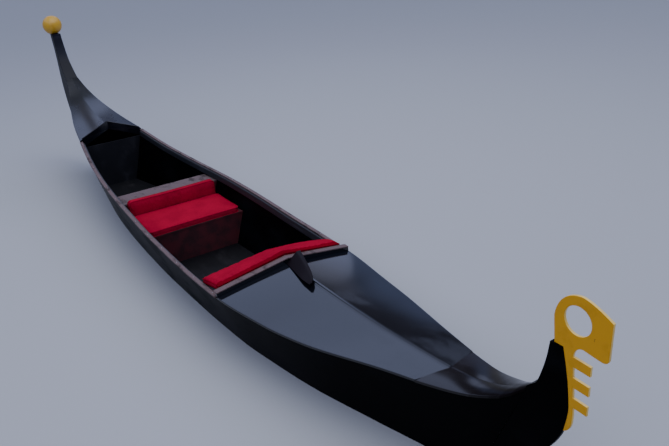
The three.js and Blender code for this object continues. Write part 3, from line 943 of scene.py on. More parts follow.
@dataclass(frozen=True)
class Hull:
    """Bottom, side planks and the two posts."""

    lines: HullLines
    # height, front x, half-width of the front, in millimetres
    stem_front: tuple[tuple[float, ...], ...] = (
        (300, 4135, 24), (400, 4285, 24), (540, 4420, 22), (690, 4530, 20), (800, 4598, 17),
        (892, 4636, 14), (1030, 4659, 11), (1058, 4659, 11), (1120, 4653, 11), (1213, 4640, 11),
        (1306, 4621, 11), (1403, 4597, 11),
    )
    # height, back x, half-width of the back, above the sheer
    stem_neck: tuple[tuple[float, ...], ...] = (
        (1058, 4401, 44), (1120, 4460, 37), (1213, 4490, 31), (1306, 4509, 25), (1403, 4520, 20),
    )
    # height, back x, half-width of the back
    stern_back: tuple[tuple[float, ...], ...] = (
        (490, -4172, 32), (600, -4335, 36), (760, -4468, 42), (1010, -4574, 49), (1260, -4634, 53),
        (1405, -4656, 52), (1530, -4674, 50), (1657, -4695, 47), (1810, -4728, 45), (1980, -4782, 43),
    )
    # height, front x, half-width of the front, above the sheer
    stern_neck: tuple[tuple[float, ...], ...] = (
        (1530, -4370, 78), (1657, -4467, 68), (1810, -4535, 63), (1980, -4592, 59),
    )
    edge: float = 6 * MM
    plank_edge: float = 1.5 * MM
    bottom_edge: float = 2 * MM
    # share of the edge's radius to which a post's hull-side corners are eased up to the sheer, and
    # height over it, in millimetres, by which they are fully eased
    eased_below: float = 0.1
    eased_by: float = 60

    def side_plank(self) -> Shell:
        """Rule the starboard plank from the chine to the sheer, with eased edges.

        Returns:
            The closed shell.
        """
        at = self.lines.stations()
        foot, head = self.lines.foot(at), self.lines.head(at)
        inward = np.stack((0 * at, self.lines.plank(at), 0 * at), -1)
        corners = np.stack((foot, head, head + inward, foot + inward), 1)
        return tube(rounded(corners, self.plank_edge, flat=10))

    def bottom(self) -> Shell:
        """Lay the bottom panel, flat amidships and turned up at both ends.

        Returns:
            The closed shell.
        """
        at = self.lines.stations()
        foot = self.lines.foot(at) - (0, 0, GAP)
        down = np.array((0, 0, self.lines.bottom_mm * MM))
        mirror = np.array((1, -1, 1))
        corners = np.stack((foot - down, (foot - down) * mirror, foot * mirror, foot), 1)
        return tube(rounded(corners, self.bottom_edge, flat=8))

    def level_lines(self, rows: np.ndarray, height: np.ndarray) -> np.ndarray:
        """Return x and half-width at each height from rows of height, x and half-width."""
        return np.stack([smooth_line(rows[:, 0], rows[:, k])(height) for k in (1, 2)], -1)

    def hull_side(self, row: Sequence[float], neck: Sequence[Sequence[float]], height: np.ndarray
                  ) -> np.ndarray:
        """Return x and half-width where a post meets the hull, to a height.

        It is straight from the chine to the sheer, as the planking's end is, and a smooth line
        through the neck's rows above that.

        Args:
            row: the hull's first or last row of lines.
            neck: height, x and half-width of the rows above the sheer.
            height: the levels.

        Returns:
            x and half-width, a row to each level.
        """
        sheer_x, half, top, chine_x, foot_half, low = row
        share = (height - low) / (top - low)
        raked = np.stack((mix(chine_x, sheer_x, share), mix(foot_half, half, share)), -1)
        above = self.level_lines(np.array([(top, sheer_x, half), *neck]), height)
        return np.where(height[:, None] < top, raked, above)

    def post(self, outer: Sequence[Sequence[float]], neck: Sequence[Sequence[float]],
             row: Sequence[float], clear: float, levels: int) -> Shell:
        """Shape a post between the hull's end and its own outer edge.

        Its hull-side corners are nearly sharp up to the sheer, where the planking covers them.

        Args:
            outer: height, x and half-width of the outer edge.
            neck: height, x and half-width of the hull side above the sheer.
            row: the hull's first or last row of lines.
            clear: how far along x it stays off the hull, with the sign of that way.
            levels: how many levels it has.

        Returns:
            The closed shell, in metres.
        """
        rows = np.array(outer)
        height = np.linspace(rows[0, 0], rows[-1, 0], levels)
        hull = self.hull_side(row, neck, height) + (clear, 0)
        eased = np.clip((height - row[2]) / self.eased_by, self.eased_below, 1) * self.edge
        return post_shell(hull * MM, self.level_lines(rows, height) * MM, height * MM, eased, self.edge)

    def build(self) -> None:
        """Make the hull's pieces: planks, bottom, the stem with its curved neck, the tall stern."""
        plank = self.side_plank()
        for side in Side:
            make_side(side, "topside", plank, SIDE_BLACK, "hull_side")
        make_piece("bottom_skin", self.bottom(), SIDE_BLACK, ["hull_bottom"])
        stem = self.post(self.stem_front, self.stem_neck, self.lines.rows[0], GAP_MM, 90)
        make_piece("stem", stem, SIDE_BLACK, ["stem_post"])
        stern = self.post(self.stern_back, self.stern_neck, self.lines.rows[-1], -GAP_MM, 110)
        # the post's sideways faces take the darker, nearly unreflective topside enamel: painted shade on its
        # sides
        finish_faces(make_piece("stern", stern, POST_BLACK, ["stern_post"]), SIDE_BLACK, sideways)


@dataclass(frozen=True)
class Deck:
    """One decked length: where its edge and its ridge start and end, and the ridge's crown line.

    Their values are millimetres, and so is each x in worn.
    """

    name: str
    edge: tuple[float, float]
    ridge: tuple[float, float]
    crown: tuple[tuple[float, float], ...]
    arch: float
    finish: Finish = DECK_BLACK
    sunk: float = 0.0
    # x from which mooring lines have worn the enamel duller towards the post, and its gloss there
    worn: tuple[tuple[float, float], ...] = ()

    def half_deck(self, lines: HullLines, thick: float, radius: float) -> Shell:
        """Return the starboard half, ruled from the sheer to the crown line and arched between.

        Across the deck, a share s of the way in, it rises above the straight line by arch times
        the deck's rise times s times one less s. Its start lies lower by sunk, which fades out as
        a parabola half-way along.

        Args:
            lines: the hull's lines.
            thick: the deck's thickness.
            radius: how far its edges are eased.

        Returns:
            The closed shell.
        """
        at = lines.stations(self.edge[0] * MM, self.edge[1] * MM)
        share = (at - at[0]) / (at[-1] - at[0])
        on_ridge = mix(self.ridge[0], self.ridge[1], share) * MM
        crown = np.array(self.crown) * MM
        top = smooth_line(crown[:, 0], crown[:, 1])(on_ridge)
        half, edge_z = lines.half(at), lines.sheer(at) + GAP
        seam = np.full_like(at, -GAP / 2)
        corners = np.stack((
            np.stack((at, -half, edge_z), -1), np.stack((at, -half, edge_z + thick), -1),
            np.stack((on_ridge, seam, top), -1), np.stack((on_ridge, seam, top - thick), -1)), 1)
        # the edge's foot and top, then the two corners at the joint, which stay nearly sharp
        eased = np.array((1 * MM, radius, 0.5 * MM, 0.5 * MM))
        rings = rounded(corners, eased[None], arc=4, flat=10)
        across = 1 - np.clip(-rings[..., 1] / half[:, None], 0, 1)
        rise = np.maximum(top - edge_z - thick, 0)[:, None]
        rings[..., 2] += self.arch * rise * across * (1 - across)
        rings[..., 2] -= self.sunk * np.clip(1 - 2 * share, 0, 1)[:, None] ** 2
        return tube(rings)


@dataclass(frozen=True)
class Decks:
    """Foredeck, bow deck and afterdeck, in halves, with the strip over the foredeck's joint."""

    lines: HullLines
    thick: float = 16 * MM
    radius: float = 5 * MM
    foredeck: Deck = Deck(
        "foredeck", (1700, 3700), (1764, 3765),
        ((1762, 769), (2600, 758), (3020, 764), (3445, 788), (3765, 812)), 0.12)
    bow: Deck = Deck(
        "bow_deck", (3701, 4398), (3766, 4398),
        ((3700, 812), (3950, 848), (4130, 902), (4280, 974), (4397, 1058)), 1.0, BOW_BLACK, 5 * MM,
        ((4060, 0.26), (4100, 0.21), (4140, 0.17), (4180, 0.135), (4215, 0.105), (4250, 0.08),
         (4280, 0.055), (4310, 0.035), (4340, 0.02), (4370, 0.01)))
    after: Deck = Deck(
        "afterdeck", (-2792, -4233), (-2892, -4233),
        ((-4232, 1428), (-4063, 1320), (-3800, 1185), (-3320, 1060), (-2880, 1000)), 0.3,
        AFTERDECK_BLACK, 0.0,
        ((-4040, 0.34), (-4080, 0.31), (-4115, 0.28), (-4145, 0.25), (-4175, 0.22), (-4205, 0.19)))

    # section of the strip over the joint: y, and height over the deck there, in millimetres
    bead: tuple[tuple[float, float], ...] = (
        (0, 0), (22, 0), (21, 1), (8, 1.5), (4, 6), (-4, 6), (-8, 1.5), (-21, 1), (-22, 0))
    bead_edge: float = 1 * MM

    def ridge_strip(self) -> Shell:
        """Lay the strip along the foredeck's joint, a bead between two shoulders on the deck.

        Returns:
            The closed shell.
        """
        low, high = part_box("foredeck_ridge")
        x = np.linspace(low.x, high.x, 40)
        crown = np.array(self.foredeck.crown) * MM
        z = smooth_line(crown[:, 0], crown[:, 1])(x) + GAP
        fall = (z - self.lines.sheer(x) - self.thick) / self.lines.half(x)
        corners = np.stack([np.stack((x, 0 * x + y * MM, z - fall * abs(y) * MM + up * MM), -1)
                            for y, up in self.bead], 1)
        return tube(rounded(corners, self.bead_edge, flat=4))

    def wear_tip(self, deck: Deck, pair: Sequence[bpy.types.Object]) -> None:
        """Dull a deck's tip step by step towards its post.

        Args:
            deck: the deck.
            pair: the objects of its two halves.
        """
        for number, (start, gloss) in enumerate(deck.worn):
            finish = replace(deck.finish, name=f"{deck.finish.name}_worn_{number}", gloss=gloss)
            for made in pair:
                finish_faces(made, finish, lambda normals, centres: centres[:, 0] / start > MM)

    def build(self) -> None:
        """Make the decks' pieces."""
        for deck in (self.foredeck, self.bow, self.after):
            half = deck.half_deck(self.lines, self.thick, self.radius)
            pair = [make_side(side, f"{deck.name}_skin", half, deck.finish, deck.name)
                    for side in Side]
            self.wear_tip(deck, pair)
        make_piece("ridge_strip", self.ridge_strip(), DECK_BLACK, ["foredeck_ridge"], sharp=20)


@dataclass(frozen=True)
class Coaming:
    """The V of the front coaming: where it meets the sides, and its peak on the middle line."""

    lines: HullLines
    side_x: float = 1698 * MM
    side_z: float = 692 * MM
    peak_x: float = 1762 * MM
    peak_z: float = 820 * MM
    cap_wide: float = 60 * MM
    cap_thick: float = 12 * MM
    cap_ahead: float = 1 * MM
    cap_edge: float = 4 * MM

    def along(self, share: np.ndarray) -> tuple[np.ndarray, np.ndarray]:
        """Return the V's x and z at a share of the way across, from -1 to 1."""
        inward = 1 - np.abs(share)
        return mix(self.side_x, self.peak_x, inward), mix(self.side_z, self.peak_z, inward)

    def cap(self) -> Shell:
        """Lay the grey strip along the coaming's top, mitred at the peak.

        Returns:
            The closed shell.
        """
        share = np.concatenate((np.linspace(-1, 0, 24), np.linspace(0, 1, 24)[1:]))
        x, z = self.along(share)
        y = share * self.lines.half(np.array(self.side_x))
        front, back = x + self.cap_ahead, x - self.cap_wide
        corners = np.stack([np.stack((edge, y, z - drop), -1) for edge, drop in
                            ((front, 0), (back, 0), (back, self.cap_thick), (front, self.cap_thick))], 1)
        return tube(rounded(corners, self.cap_edge, flat=5))

    def build(self) -> None:
        """Make the cap's piece."""
        make_piece("coaming_cap", self.cap(), GREY_TRIM, ["front_coaming_cap"])


@dataclass(frozen=True)
class Trim:
    """Gunwale strips and inner stringers along the open cockpit."""

    lines: HullLines
    out: float = 7 * MM
    inward: float = 33 * MM
    thick: float = 15 * MM
    edge: float = 5 * MM
    stringer_wide: float = 22 * MM
    stringer_deep: float = 60 * MM
    stringer_edge: float = 4 * MM
    screw_pitch: float = 0.35
    screw_from_end: float = 0.08
    screw_radius: float = 5 * MM
    # radius and height of a screw head's section, in screw radii
    dome: tuple[tuple[float, float], ...] = ((0, -1), (1, -1), (1, 0), (0.8, 0.25), (0.4, 0.42), (0, 0.48))

    def gunwale(self) -> Shell:
        """Run the starboard strip along the sheer, with eased edges.

        Returns:
            The closed shell.
        """
        low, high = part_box("gunwale_starboard")
        at = self.lines.stations(high.x, low.x)
        half, z = self.lines.half(at), self.lines.sheer(at)
        outer, inner = -half - self.out, -half + self.inward
        corners = np.stack([np.stack((at, y, z + up), -1) for y, up in
                            ((outer, GAP), (outer, self.thick), (inner, self.thick), (inner, GAP))], 1)
        return tube(rounded(corners, self.edge, arc=4, flat=4))

    def stringer(self) -> Shell:
        """Run the starboard batten inside the planking, just under the strip.

        Returns:
            The closed shell.
        """
        low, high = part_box("inner_stringer_starboard")
        at = self.lines.stations(high.x, low.x)
        foot, head = self.lines.foot(at), self.lines.head(at)
        drop = (self.stringer_deep / (head[:, 2] - foot[:, 2]))[:, None]
        inward = np.stack((0 * at, self.lines.plank(at) + GAP, 0 * at), -1)
        wide = np.array((0, self.stringer_wide, 0))
        upper, lower = head + inward, mix(head, foot, drop) + inward
        corners = np.stack((lower, upper, upper + wide, lower + wide), 1)
        return tube(rounded(corners, self.stringer_edge, flat=4))

    def screws(self) -> Shell:
        """Space domed screw heads evenly along the middle of the starboard strip.

        Returns:
            One shell that holds them all.
        """
        low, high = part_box("gunwale_starboard")
        count = round((high.x - low.x) / self.screw_pitch)
        x = np.linspace(low.x + self.screw_from_end, high.x - self.screw_from_end, count)
        y = -self.lines.half(x) + (self.inward - self.out) / 2
        z = self.lines.sheer(x) + self.thick
        dome = np.array(self.dome) * self.screw_radius
        return joined([lathe(dome, place, 12) for place in zip(x, y, z)])

    def build(self) -> None:
        """Make the trim's pieces, one side after the other."""
        strip, batten, screws = self.gunwale(), self.stringer(), self.screws()
        for side in Side:
            make_side(side, "gunwale_strip", strip, GREY_TRIM, "gunwale")
            make_side(side, "batten", batten, INNER_BLACK, "inner_stringer")
            make_side(side, "gunwale_screws", screws, STEEL)


@dataclass(frozen=True)
class BowIron:
    """The flat toothed plate on the stem. The values are millimetres."""

    stem: tuple[tuple[float, ...], ...]
    thick: float = 18
    bevel: float = 3.5
    spine: float = 4660
    tooth_tip: float = 4770
    teeth_top: float = 1374
    tooth: float = 60
    upper_slope: float = 6
    lower_slope: float = 4
    undercut: float = 6
    tooth_pitch: float = 121
    teeth: int = 3
    lean: float = 10
    foot: float = 892
    hole: tuple[float, float, float] = (4671, 1587, 82)
    neck: float = 4540
    # from the stem's top over the head to the teeth: steps, then the curve's next control points
    head: tuple[tuple[int, tuple[tuple[float, float], ...]], ...] = (
        (1, ((4527, 1560),)), (20, ((4540, 1680), (4620, 1727), (4690, 1729))),
        (20, ((4760, 1722), (4869, 1663))), (1, ((4865, 1452),)), (6, ((4858, 1430), (4830, 1428))),
        (8, ((4770, 1434), (4715, 1442))), (8, ((4672, 1436), (4660, 1382))))
    # from the lowest tooth to the heel of the plate's foot
    heel: tuple[tuple[float, float], ...] = ((4690, 1010), (4684, 960), (4674, 910))

    def curve(self, *controls: tuple[float, float], steps: int) -> list[tuple[float, float]]:
        """Draw a Bezier curve: its control points are mixed pair by pair until one is left.

        Args:
            controls: its control points, the first of which is where it starts.
            steps: how many steps it takes.

        Returns:
            Its points, without the first.
        """
        t = np.linspace(0, 1, steps + 1)[1:, None]
        points = [np.asarray(control, float)[None] for control in controls]
        while len(points) > 1:
            points = [mix(a, b, t) for a, b in zip(points, points[1:])]
        return [tuple(point) for point in points[0]]

    def outline(self) -> list[tuple[float, float]]:
        """Draw the plate's outline, from the neck round the head and the teeth to the foot.

        Returns:
            Its points' x and z, in millimetres.
        """
        seat = [(x + GAP_MM, z) for z, x, _ in self.stem if z >= self.foot]
        stem_top = self.stem[-1][0] + GAP_MM
        points = [(self.neck, stem_top)]
        for steps, controls in self.head:
            points += self.curve(points[-1], *controls, steps=steps)
        for i in range(self.teeth):
            top, root = self.teeth_top - i * self.tooth_pitch, self.spine + i * self.lean
            low = top - self.tooth
            points += [(root, top), (self.tooth_tip, top - self.upper_slope),
                       (self.tooth_tip, low - self.lower_slope), (root + self.undercut, low)]
        low_bend, heel, foot_bend = self.heel
        points += self.curve(points[-1], low_bend, heel, steps=8)
        points += self.curve(heel, foot_bend, seat[0], steps=8)
        return [*points, *seat[1:], (seat[-1][0], stem_top)]

    def plate(self) -> Shell:
        """Cut the plate from a filled flat curve with its edges bevelled, and stand it upright.

        Returns:
            The closed shell.
        """
        curve = bpy.data.curves.new("iron_outline", "CURVE")
        curve.dimensions = "2D"
        curve.fill_mode = "BOTH"
        curve.extrude = (self.thick / 2 - self.bevel) * MM
        curve.bevel_depth = self.bevel * MM
        curve.bevel_resolution = 2
        curve.offset = -self.bevel * MM
        x, z, radius = self.hole
        turn = np.linspace(0, 2 * np.pi, 64, endpoint=False)
        rim = [(x + radius * math.cos(a), z + radius * math.sin(a)) for a in turn]
        for points in (self.outline(), rim):
            spline = curve.splines.new("POLY")
            spline.points.add(len(points) - 1)
            for point, (px, pz) in zip(spline.points, points):
                point.co = (px * MM, pz * MM, 0, 1)
            spline.use_cyclic_u = True
        holder = bpy.data.objects.new("iron_outline", curve)
        bpy.context.scene.collection.objects.link(holder)
        bpy.context.view_layer.update()
        flat = bpy.data.meshes.new_from_object(holder.evaluated_get(bpy.context.evaluated_depsgraph_get()))
        flat.transform(Matrix.Rotation(math.pi / 2, 4, "X"))
        shell = Shell(vectors(flat.vertices, "co"), [list(face.vertices) for face in flat.polygons])
        bpy.data.objects.remove(holder)
        return shell

    def build(self) -> None:
        """Make the plate's piece."""
        plate = make_piece("iron_plate", self.plate(), GOLD, ["bow_iron"], sharp=25)
        # the faces that don't look sideways, the bevels, rims and tops, take the paler gold: a painted
        # highlight
        finish_faces(plate, GOLD_HIGHLIGHT, not_sideways)


@dataclass(frozen=True)
class SternBall:
    """The gold ball on the stern post and the collar under it."""

    centre: tuple[float, float, float] = (-4732 * MM, 0.0, 2126 * MM)
    radius: float = 132 * MM
    seat: float = 60 * MM
    post_top: float = 1980 * MM
    edge: float = 6 * MM
    # x and half-width of the collar's two sides, at its foot and its head, in millimetres
    collar_front: tuple[tuple[float, float], ...] = ((-4592, 59), (-4598, 58))
    collar_back: tuple[tuple[float, float], ...] = ((-4782, 43), (-4789, 43))

    def ball(self) -> Shell:
        """Turn the ball: radius times the cosine and sine of the latitude, flat at its seat.

        Returns:
            The closed shell.
        """
        start = -math.acos(self.seat / self.radius)
        latitude = np.linspace(start, np.pi / 2, 48)
        arc = np.stack((np.cos(latitude), np.sin(latitude)), -1) * self.radius
        arc[-1, 0] = 0
        return lathe(np.concatenate(([(0, arc[0, 1])], arc)), self.centre, 96)

    def collar(self) -> Shell:
        """Shape the collar, which carries the post's faces up to the ball.

        Returns:
            The closed shell.
        """
        low, high = self.post_top + GAP, self.centre[2] - math.sqrt(self.radius**2 - self.seat**2) - GAP
        share = np.linspace(0, 1, 5)[:, None]
        front, back = (mix(*np.array(side), share) * MM for side in (self.collar_front, self.collar_back))
        level = mix(low, high, share[:, 0])
        return post_shell(front, back, level, np.full_like(level, self.edge), self.edge)

    def build(self) -> None:
        """Make the ball's and the collar's pieces."""
        make_piece("ball", self.ball(), BALL_GOLD, ["stern_ball"])
        collar = make_piece("collar", self.collar(), POST_BLACK, ["ball_collar"])
        # the collar's sideways faces take the darker, nearly unreflective topside enamel: painted shade on
        # its sides
        finish_faces(collar, SIDE_BLACK, sideways)


@dataclass(frozen=True)
class Pad:
    """A box cushion in its own axes: half-sizes along its face, and how it is sewn."""

    half: tuple[float, float]
    spacing: float = 14 * MM
    corner: float = 45 * MM
    pulled_in: float = 7 * MM
    welt: float = 4.5 * MM

    def face(self, height: float, crown: float) -> np.ndarray:
        """Return one face of the cushion as a grid.

        The sides are pulled in between the corners by a parabola, the corner squares are drawn in
        to quarter discs, and the middle stands higher by crown times the product of two parabolas.

        Args:
            height: the seam's height.
            crown: how much higher the middle is.

        Returns:
            Points as row, column, coordinate.
        """
        counts = [max(8, round(2 * half / self.spacing)) for half in self.half]
        s, t = np.meshgrid(*(np.linspace(-1, 1, count + 1) for count in counts), indexing="ij")
        flat = np.stack((s * (self.half[0] - self.pulled_in * (1 - t**2)),
                         t * (self.half[1] - self.pulled_in * (1 - s**2))), -1)
        past = np.abs(flat) - (np.array(self.half) - self.corner)
        inside = np.clip(past, 0, None)
        length = np.linalg.norm(inside, axis=-1, keepdims=True)
        drawn = inside * inside.max(-1, keepdims=True) / np.maximum(length, 1e-9)
        both = (past > 0).all(-1, keepdims=True)
        flat = np.where(both, np.sign(flat) * (np.array(self.half) - self.corner + drawn), flat)
        z = height + crown * (1 - s**2) * (1 - t**2)
        return np.concatenate((flat, z[..., None]), -1)


@dataclass(frozen=True)
class Filling:
    """How Blender's cloth blows a sewn cover up between its welts."""

    pressure: float = 6.0
    swell: float = 12 * MM
    cut_large: float = 0.03
    mass: float = 0.3
    bending: float = 0.6
    quality: int = 6
    frames: int = 20

    def inflate(self, made: bpy.types.Object, seams: Sequence[int]) -> None:
        """Blow a cover up and keep the shape.

        The welts stay where they are, the cloth is cut a little large so that it puckers at them,
        and gravity is off. A point that went further than the swell is brought back to it.

        Args:
            made: the cover's object, its mesh not yet subdivided.
            seams: numbers of the points on its welts.
        """
        mesh = made.data
        rest = vectors(mesh.vertices, "co")
        group = made.vertex_groups.new(name="welts")
        group.add(list(seams), 1.0, "REPLACE")
        cloth = made.modifiers.new("cloth", "CLOTH")
        settings = cloth.settings
        settings.vertex_group_mass = group.name
        settings.effector_weights.gravity = 0
        settings.use_pressure = True
        settings.uniform_pressure_force = self.pressure
        settings.shrink_min = -self.cut_large
        settings.quality = self.quality
        settings.mass = self.mass
        settings.bending_stiffness = self.bending
        cloth.collision_settings.use_collision = False
        cloth.point_cache.frame_start, cloth.point_cache.frame_end = 1, self.frames
        scene = bpy.context.scene
        for number in range(1, self.frames + 1):
            scene.frame_set(number)
        swollen = made.evaluated_get(bpy.context.evaluated_depsgraph_get())
        move = vectors(swollen.data.vertices, "co") - rest
        made.modifiers.remove(cloth)
        made.vertex_groups.clear()
        scene.frame_set(1)
        length = np.linalg.norm(move, axis=1, keepdims=True)
        move *= np.minimum(1, self.swell / np.maximum(length, 1e-9))
        mesh.vertices.foreach_set("co", (rest + move).ravel())
        mesh.update()


def welt(path: np.ndarray, radius: float, sides: int = 8) -> Shell:
    """Return the piping along a closed seam.

    A ring lies at each point of the path, across the direction to its neighbours: radius times
    the cosine of the turn upwards, plus the sine of the turn across.

    Args:
        path: the seam's points, in order.
        radius: the piping's radius.
        sides: steps round it.

    Returns:
        The closed shell, a ring of cloth round the seam.
    """
    along = np.roll(path, -1, 0) - np.roll(path, 1, 0)
    along /= np.linalg.norm(along, axis=1, keepdims=True)
    guide = np.where(np.abs(along[:, 2:]) > 0.9, (1.0, 0, 0), (0, 0, 1.0))
    across = np.cross(along, guide)
    across /= np.linalg.norm(across, axis=1, keepdims=True)
    up = np.cross(across, along)
    turn = np.linspace(0, 2 * np.pi, sides, endpoint=False)[None, :, None]
    rings = path[:, None] + radius * (np.cos(turn) * up[:, None] + np.sin(turn) * across[:, None])
    return tube(rings, looped=True)


@dataclass(frozen=True)
class ShelfCover:
    """The padded cover that lies on the front shelf, from the coaming down to the cockpit."""

    lines: HullLines
    coaming: Coaming
    back_x: float = 1320 * MM
    side_z: float = 665 * MM
    middle_z: float = 715 * MM
    from_coaming: float = 64 * MM
    stands: float = 30 * MM
    thick: float = 45.7 * MM
    margin: float = 28 * MM
    front_roll: float = 38 * MM
    # shares of the half-width at which the slack of the loose port end starts and over which it grows
    slack_from: float = 0.3
    slack_over: float = 0.65
    drawn_forward: float = 85 * MM
    lifted: float = 6 * MM
    crown: float = 6 * MM
    # how far the edges are lowered, and over how many millimetres at the front and at the back
    edge_drop: float = 15 * MM
    edge_mm: tuple[float, float] = (50, 24)
    # about its length from front to back, by which the distance to those edges is reckoned
    length: float = 0.33
    # points across and from front to back
    points: tuple[int, int] = (97, 31)

    @property
    def front_half(self) -> float:
        """Return the half-width of the cover at its front."""
        side_x = self.coaming.side_x - self.from_coaming
        return self.lines.inside(side_x, float(self.lines.sheer(np.array(side_x)))) - self.margin

    def at_front(self, normals: np.ndarray, centres: np.ndarray) -> np.ndarray:
        """Return which faces of the cover lie in its front roll, which is given painted shade."""
        front_x, _ = self.coaming.along(centres[:, 1] / self.front_half)
        return centres[:, 0] > front_x - self.from_coaming - self.front_roll

    def slab(self) -> Slab:
        """Cut the cover.

        Across the boat it follows the coaming's V, which is flatter at its back edge, and its port
        end is drawn forward there, as loose cloth. Its edges are rounded by lowering them along a
        quarter circle, and between front and back it is crowned by a parabola.

        Returns:
            Its top and bottom.
        """
        wide, long = self.points
        across, back = np.meshgrid(np.linspace(-1, 1, wide), np.linspace(0, 1, long), indexing="ij")
        front_x, front_z = self.coaming.along(across)
        front_x, front_z = front_x - self.from_coaming, front_z + self.stands
        front_half = self.front_half
        back_half = self.lines.inside(self.back_x, self.side_z - self.thick) - self.margin
        slack = np.clip((across - self.slack_from) / self.slack_over, 0, 1) ** 2
        back_x = self.back_x + self.drawn_forward * slack
        back_z = mix(self.side_z, self.middle_z, 1 - np.abs(across)) + self.lifted * slack
        x, y = mix(front_x, back_x, back), across * mix(front_half, back_half, back)
        z = mix(front_z, back_z, back)
        top, bottom = np.stack((x, y, z), -1), np.stack((x, y, z - self.thick), -1)
        from_end = np.minimum(back, 1 - back) * self.length
        from_edge = np.minimum((1 - np.abs(across)) * front_half, from_end)
        share = np.clip(from_edge / (mix(*self.edge_mm, back) * MM), 0, 1)
        top[..., 2] -= self.edge_drop * (1 - np.sqrt(1 - (1 - share) ** 2))
        top[..., 2] += self.crown * 4 * back * (1 - back)
        return Slab(top, bottom)


@dataclass(frozen=True)
class Upholstery:
    """Seat cushion, backrest cushion and the padded cover of the front shelf."""

    cover: ShelfCover
    filling: Filling = Filling()
    fill: float = 0.7
    # room left on each side of a box cushion, as a share of the swell, and how much of it is left
    # across the cushion's thickness
    room: float = 0.8
    room_across: float = 0.4
    # height of the top seam, and of the crown over it, as shares of half the thickness
    seam: float = 0.8
    crown: float = 0.25
    cover_welt: float = 4 * MM

    def sew(self, name: str, slab: Slab, node: str, welt_radius: float, floor: float | None,
            piping: Finish) -> bpy.types.Object:
        """Make a cushion from its slab, blow it up and pipe its seams.

        Args:
            name: the piece's name.
            slab: its sewn cover.
            node: the solid that it stands for.
            welt_radius: radius of its piping.
            floor: level that it rests on and doesn't go below, or None.
            piping: its piping's finish.

        Returns:
            The cushion's object.
        """
        made = make_piece(name, slab.shell(), RED_CLOTH, [node], sharp=180)
        self.filling.inflate(made, slab.seam_points())
        if floor is not None:
            points = vectors(made.data.vertices, "co")
            points[:, 2] = np.maximum(points[:, 2], floor)
            made.data.vertices.foreach_set("co", points.ravel())
        smooth = made.modifiers.new("rounding", "SUBSURF")
        smooth.levels = smooth.render_levels = 1
        edge = slab.edge()
        seams = [welt(grid.reshape(-1, 3)[edge], welt_radius) for grid in (slab.top, slab.bottom)]
        make_piece(f"{name}_welts", joined(seams), piping, sharp=180)
        return made

    def box_cushion(self, name: str, node: str, order: tuple[int, int, int], rests: bool) -> None:
        """Make a box cushion inside a solid's box.

        Args:
            name: the piece's name.
            node: the solid that it stands for.
            order: which axis each of its own axes lies along: face, face, thickness.
            rests: whether it lies on its lower face.
        """
        low, high = (np.array(corner)[list(order)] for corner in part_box(node))
        swell = self.filling.swell
        inset = np.array((swell, swell, self.room_across * swell)) * self.room
        half, middle = (high - low) / 2 - inset, (low + high) / 2
        pad = Pad((half[0], half[1]))
        top, bottom = pad.face(half[2] * self.seam, self.crown * half[2]), pad.face(-half[2], 0.0)
        back = np.argsort(order)
        slab = Slab(*((grid + middle)[..., back] for grid in (top, bottom)))
        self.sew(name, slab, node, pad.welt, float(low[2]) + GAP if rests else None, RED_CLOTH)

    def build(self) -> None:
        """Make the cushions."""
        self.box_cushion("bench_cushion", "seat_cushion", (0, 1, 2), rests=True)
        self.box_cushion("back_cushion", "backrest_cushion", (1, 2, 0), rests=False)
        # the cover's piping and its front roll take the darker red: painted shade
        cover = self.sew("shelf_cushion", self.cover.slab(), "front_shelf_cover", self.cover_welt, None,
                         SHADED_RED_CLOTH)
        finish_faces(cover, SHADED_RED_CLOTH, self.cover.at_front)


@dataclass(frozen=True)
class DeckHorn:
    """The pointed horn ahead of the coaming's peak. The values are millimetres."""

    # x, y, half-width, low and high
    sections: tuple[tuple[float, ...], ...] = (
        (1766, 54, 78, 769.3, 852), (1930, 14, 66, 774, 841), (2100, -30, 52, 781, 822),
        (2190, -57, 30, 784, 808), (2226, -77, 12, 786, 798))
    # where the top edge starts and ends to port of the middle, as shares of the half-width
    top: tuple[float, float] = (0.35, 0.85)
    edge: float = 5

    def build(self) -> None:
        """Make the horn, lofted smoothly through its sections."""
        rows = np.array(self.sections) * MM
        x = np.linspace(rows[0, 0], rows[-1, 0], 30)
        y, half, low, high = (smooth_line(rows[:, 0], rows[:, k])(x) for k in range(1, 5))
        inner, outer = self.top
        corners = np.stack([np.stack((x, y + half * wide, z), -1) for wide, z in
                            ((-1, low), (1, low), (outer, high), (inner, high))], 1)
        horn = tube(rounded(corners, self.edge * MM, flat=4))
        make_piece("horn", horn, HORN_BLACK, ["deck_horn"])


@dataclass(frozen=True)
class FlatBoards:
    """The flat boards and runners that keep their solids, and what each is finished with."""

    finishes: dict[str, Finish] = field(default_factory=lambda: {
        "runner_port": SIDE_BLACK, "runner_starboard": SIDE_BLACK,
        "front_coaming_board": DECK_BLACK, "aft_coaming": DECK_BLACK,
        "front_bulkhead": INNER_BLACK, "aft_bulkhead": INNER_BLACK, "floor_frame": INNER_BLACK,
        # the sole boards and the platform carry painted shade in their darker satin black
        "sole_board_centre": SHADED_SOLE_BLACK, "sole_board_port": SHADED_SOLE_BLACK,
        "sole_board_starboard": SHADED_SOLE_BLACK, "helmsman_platform": SHADED_SOLE_BLACK,
        "seat_front_panel": RED_CARPET, "seat_top": RED_CARPET, "seat_back_panel": RED_CARPET,
        "locker_back_panel": INNER_BLACK, "locker_lid": GREY_TRIM, "front_shelf": INNER_BLACK,
    })

    def build(self, nodes: dict[str, bpy.types.Object]) -> None:
        """Give each board its finish.

        Args:
            nodes: the solids' objects by node name.
        """
        for name, finish in self.finishes.items():
            nodes[name].data.materials.clear()
            nodes[name].data.materials.append(finish.material())
            LOG.info("%s keeps its solid, %s", name, finish.name)


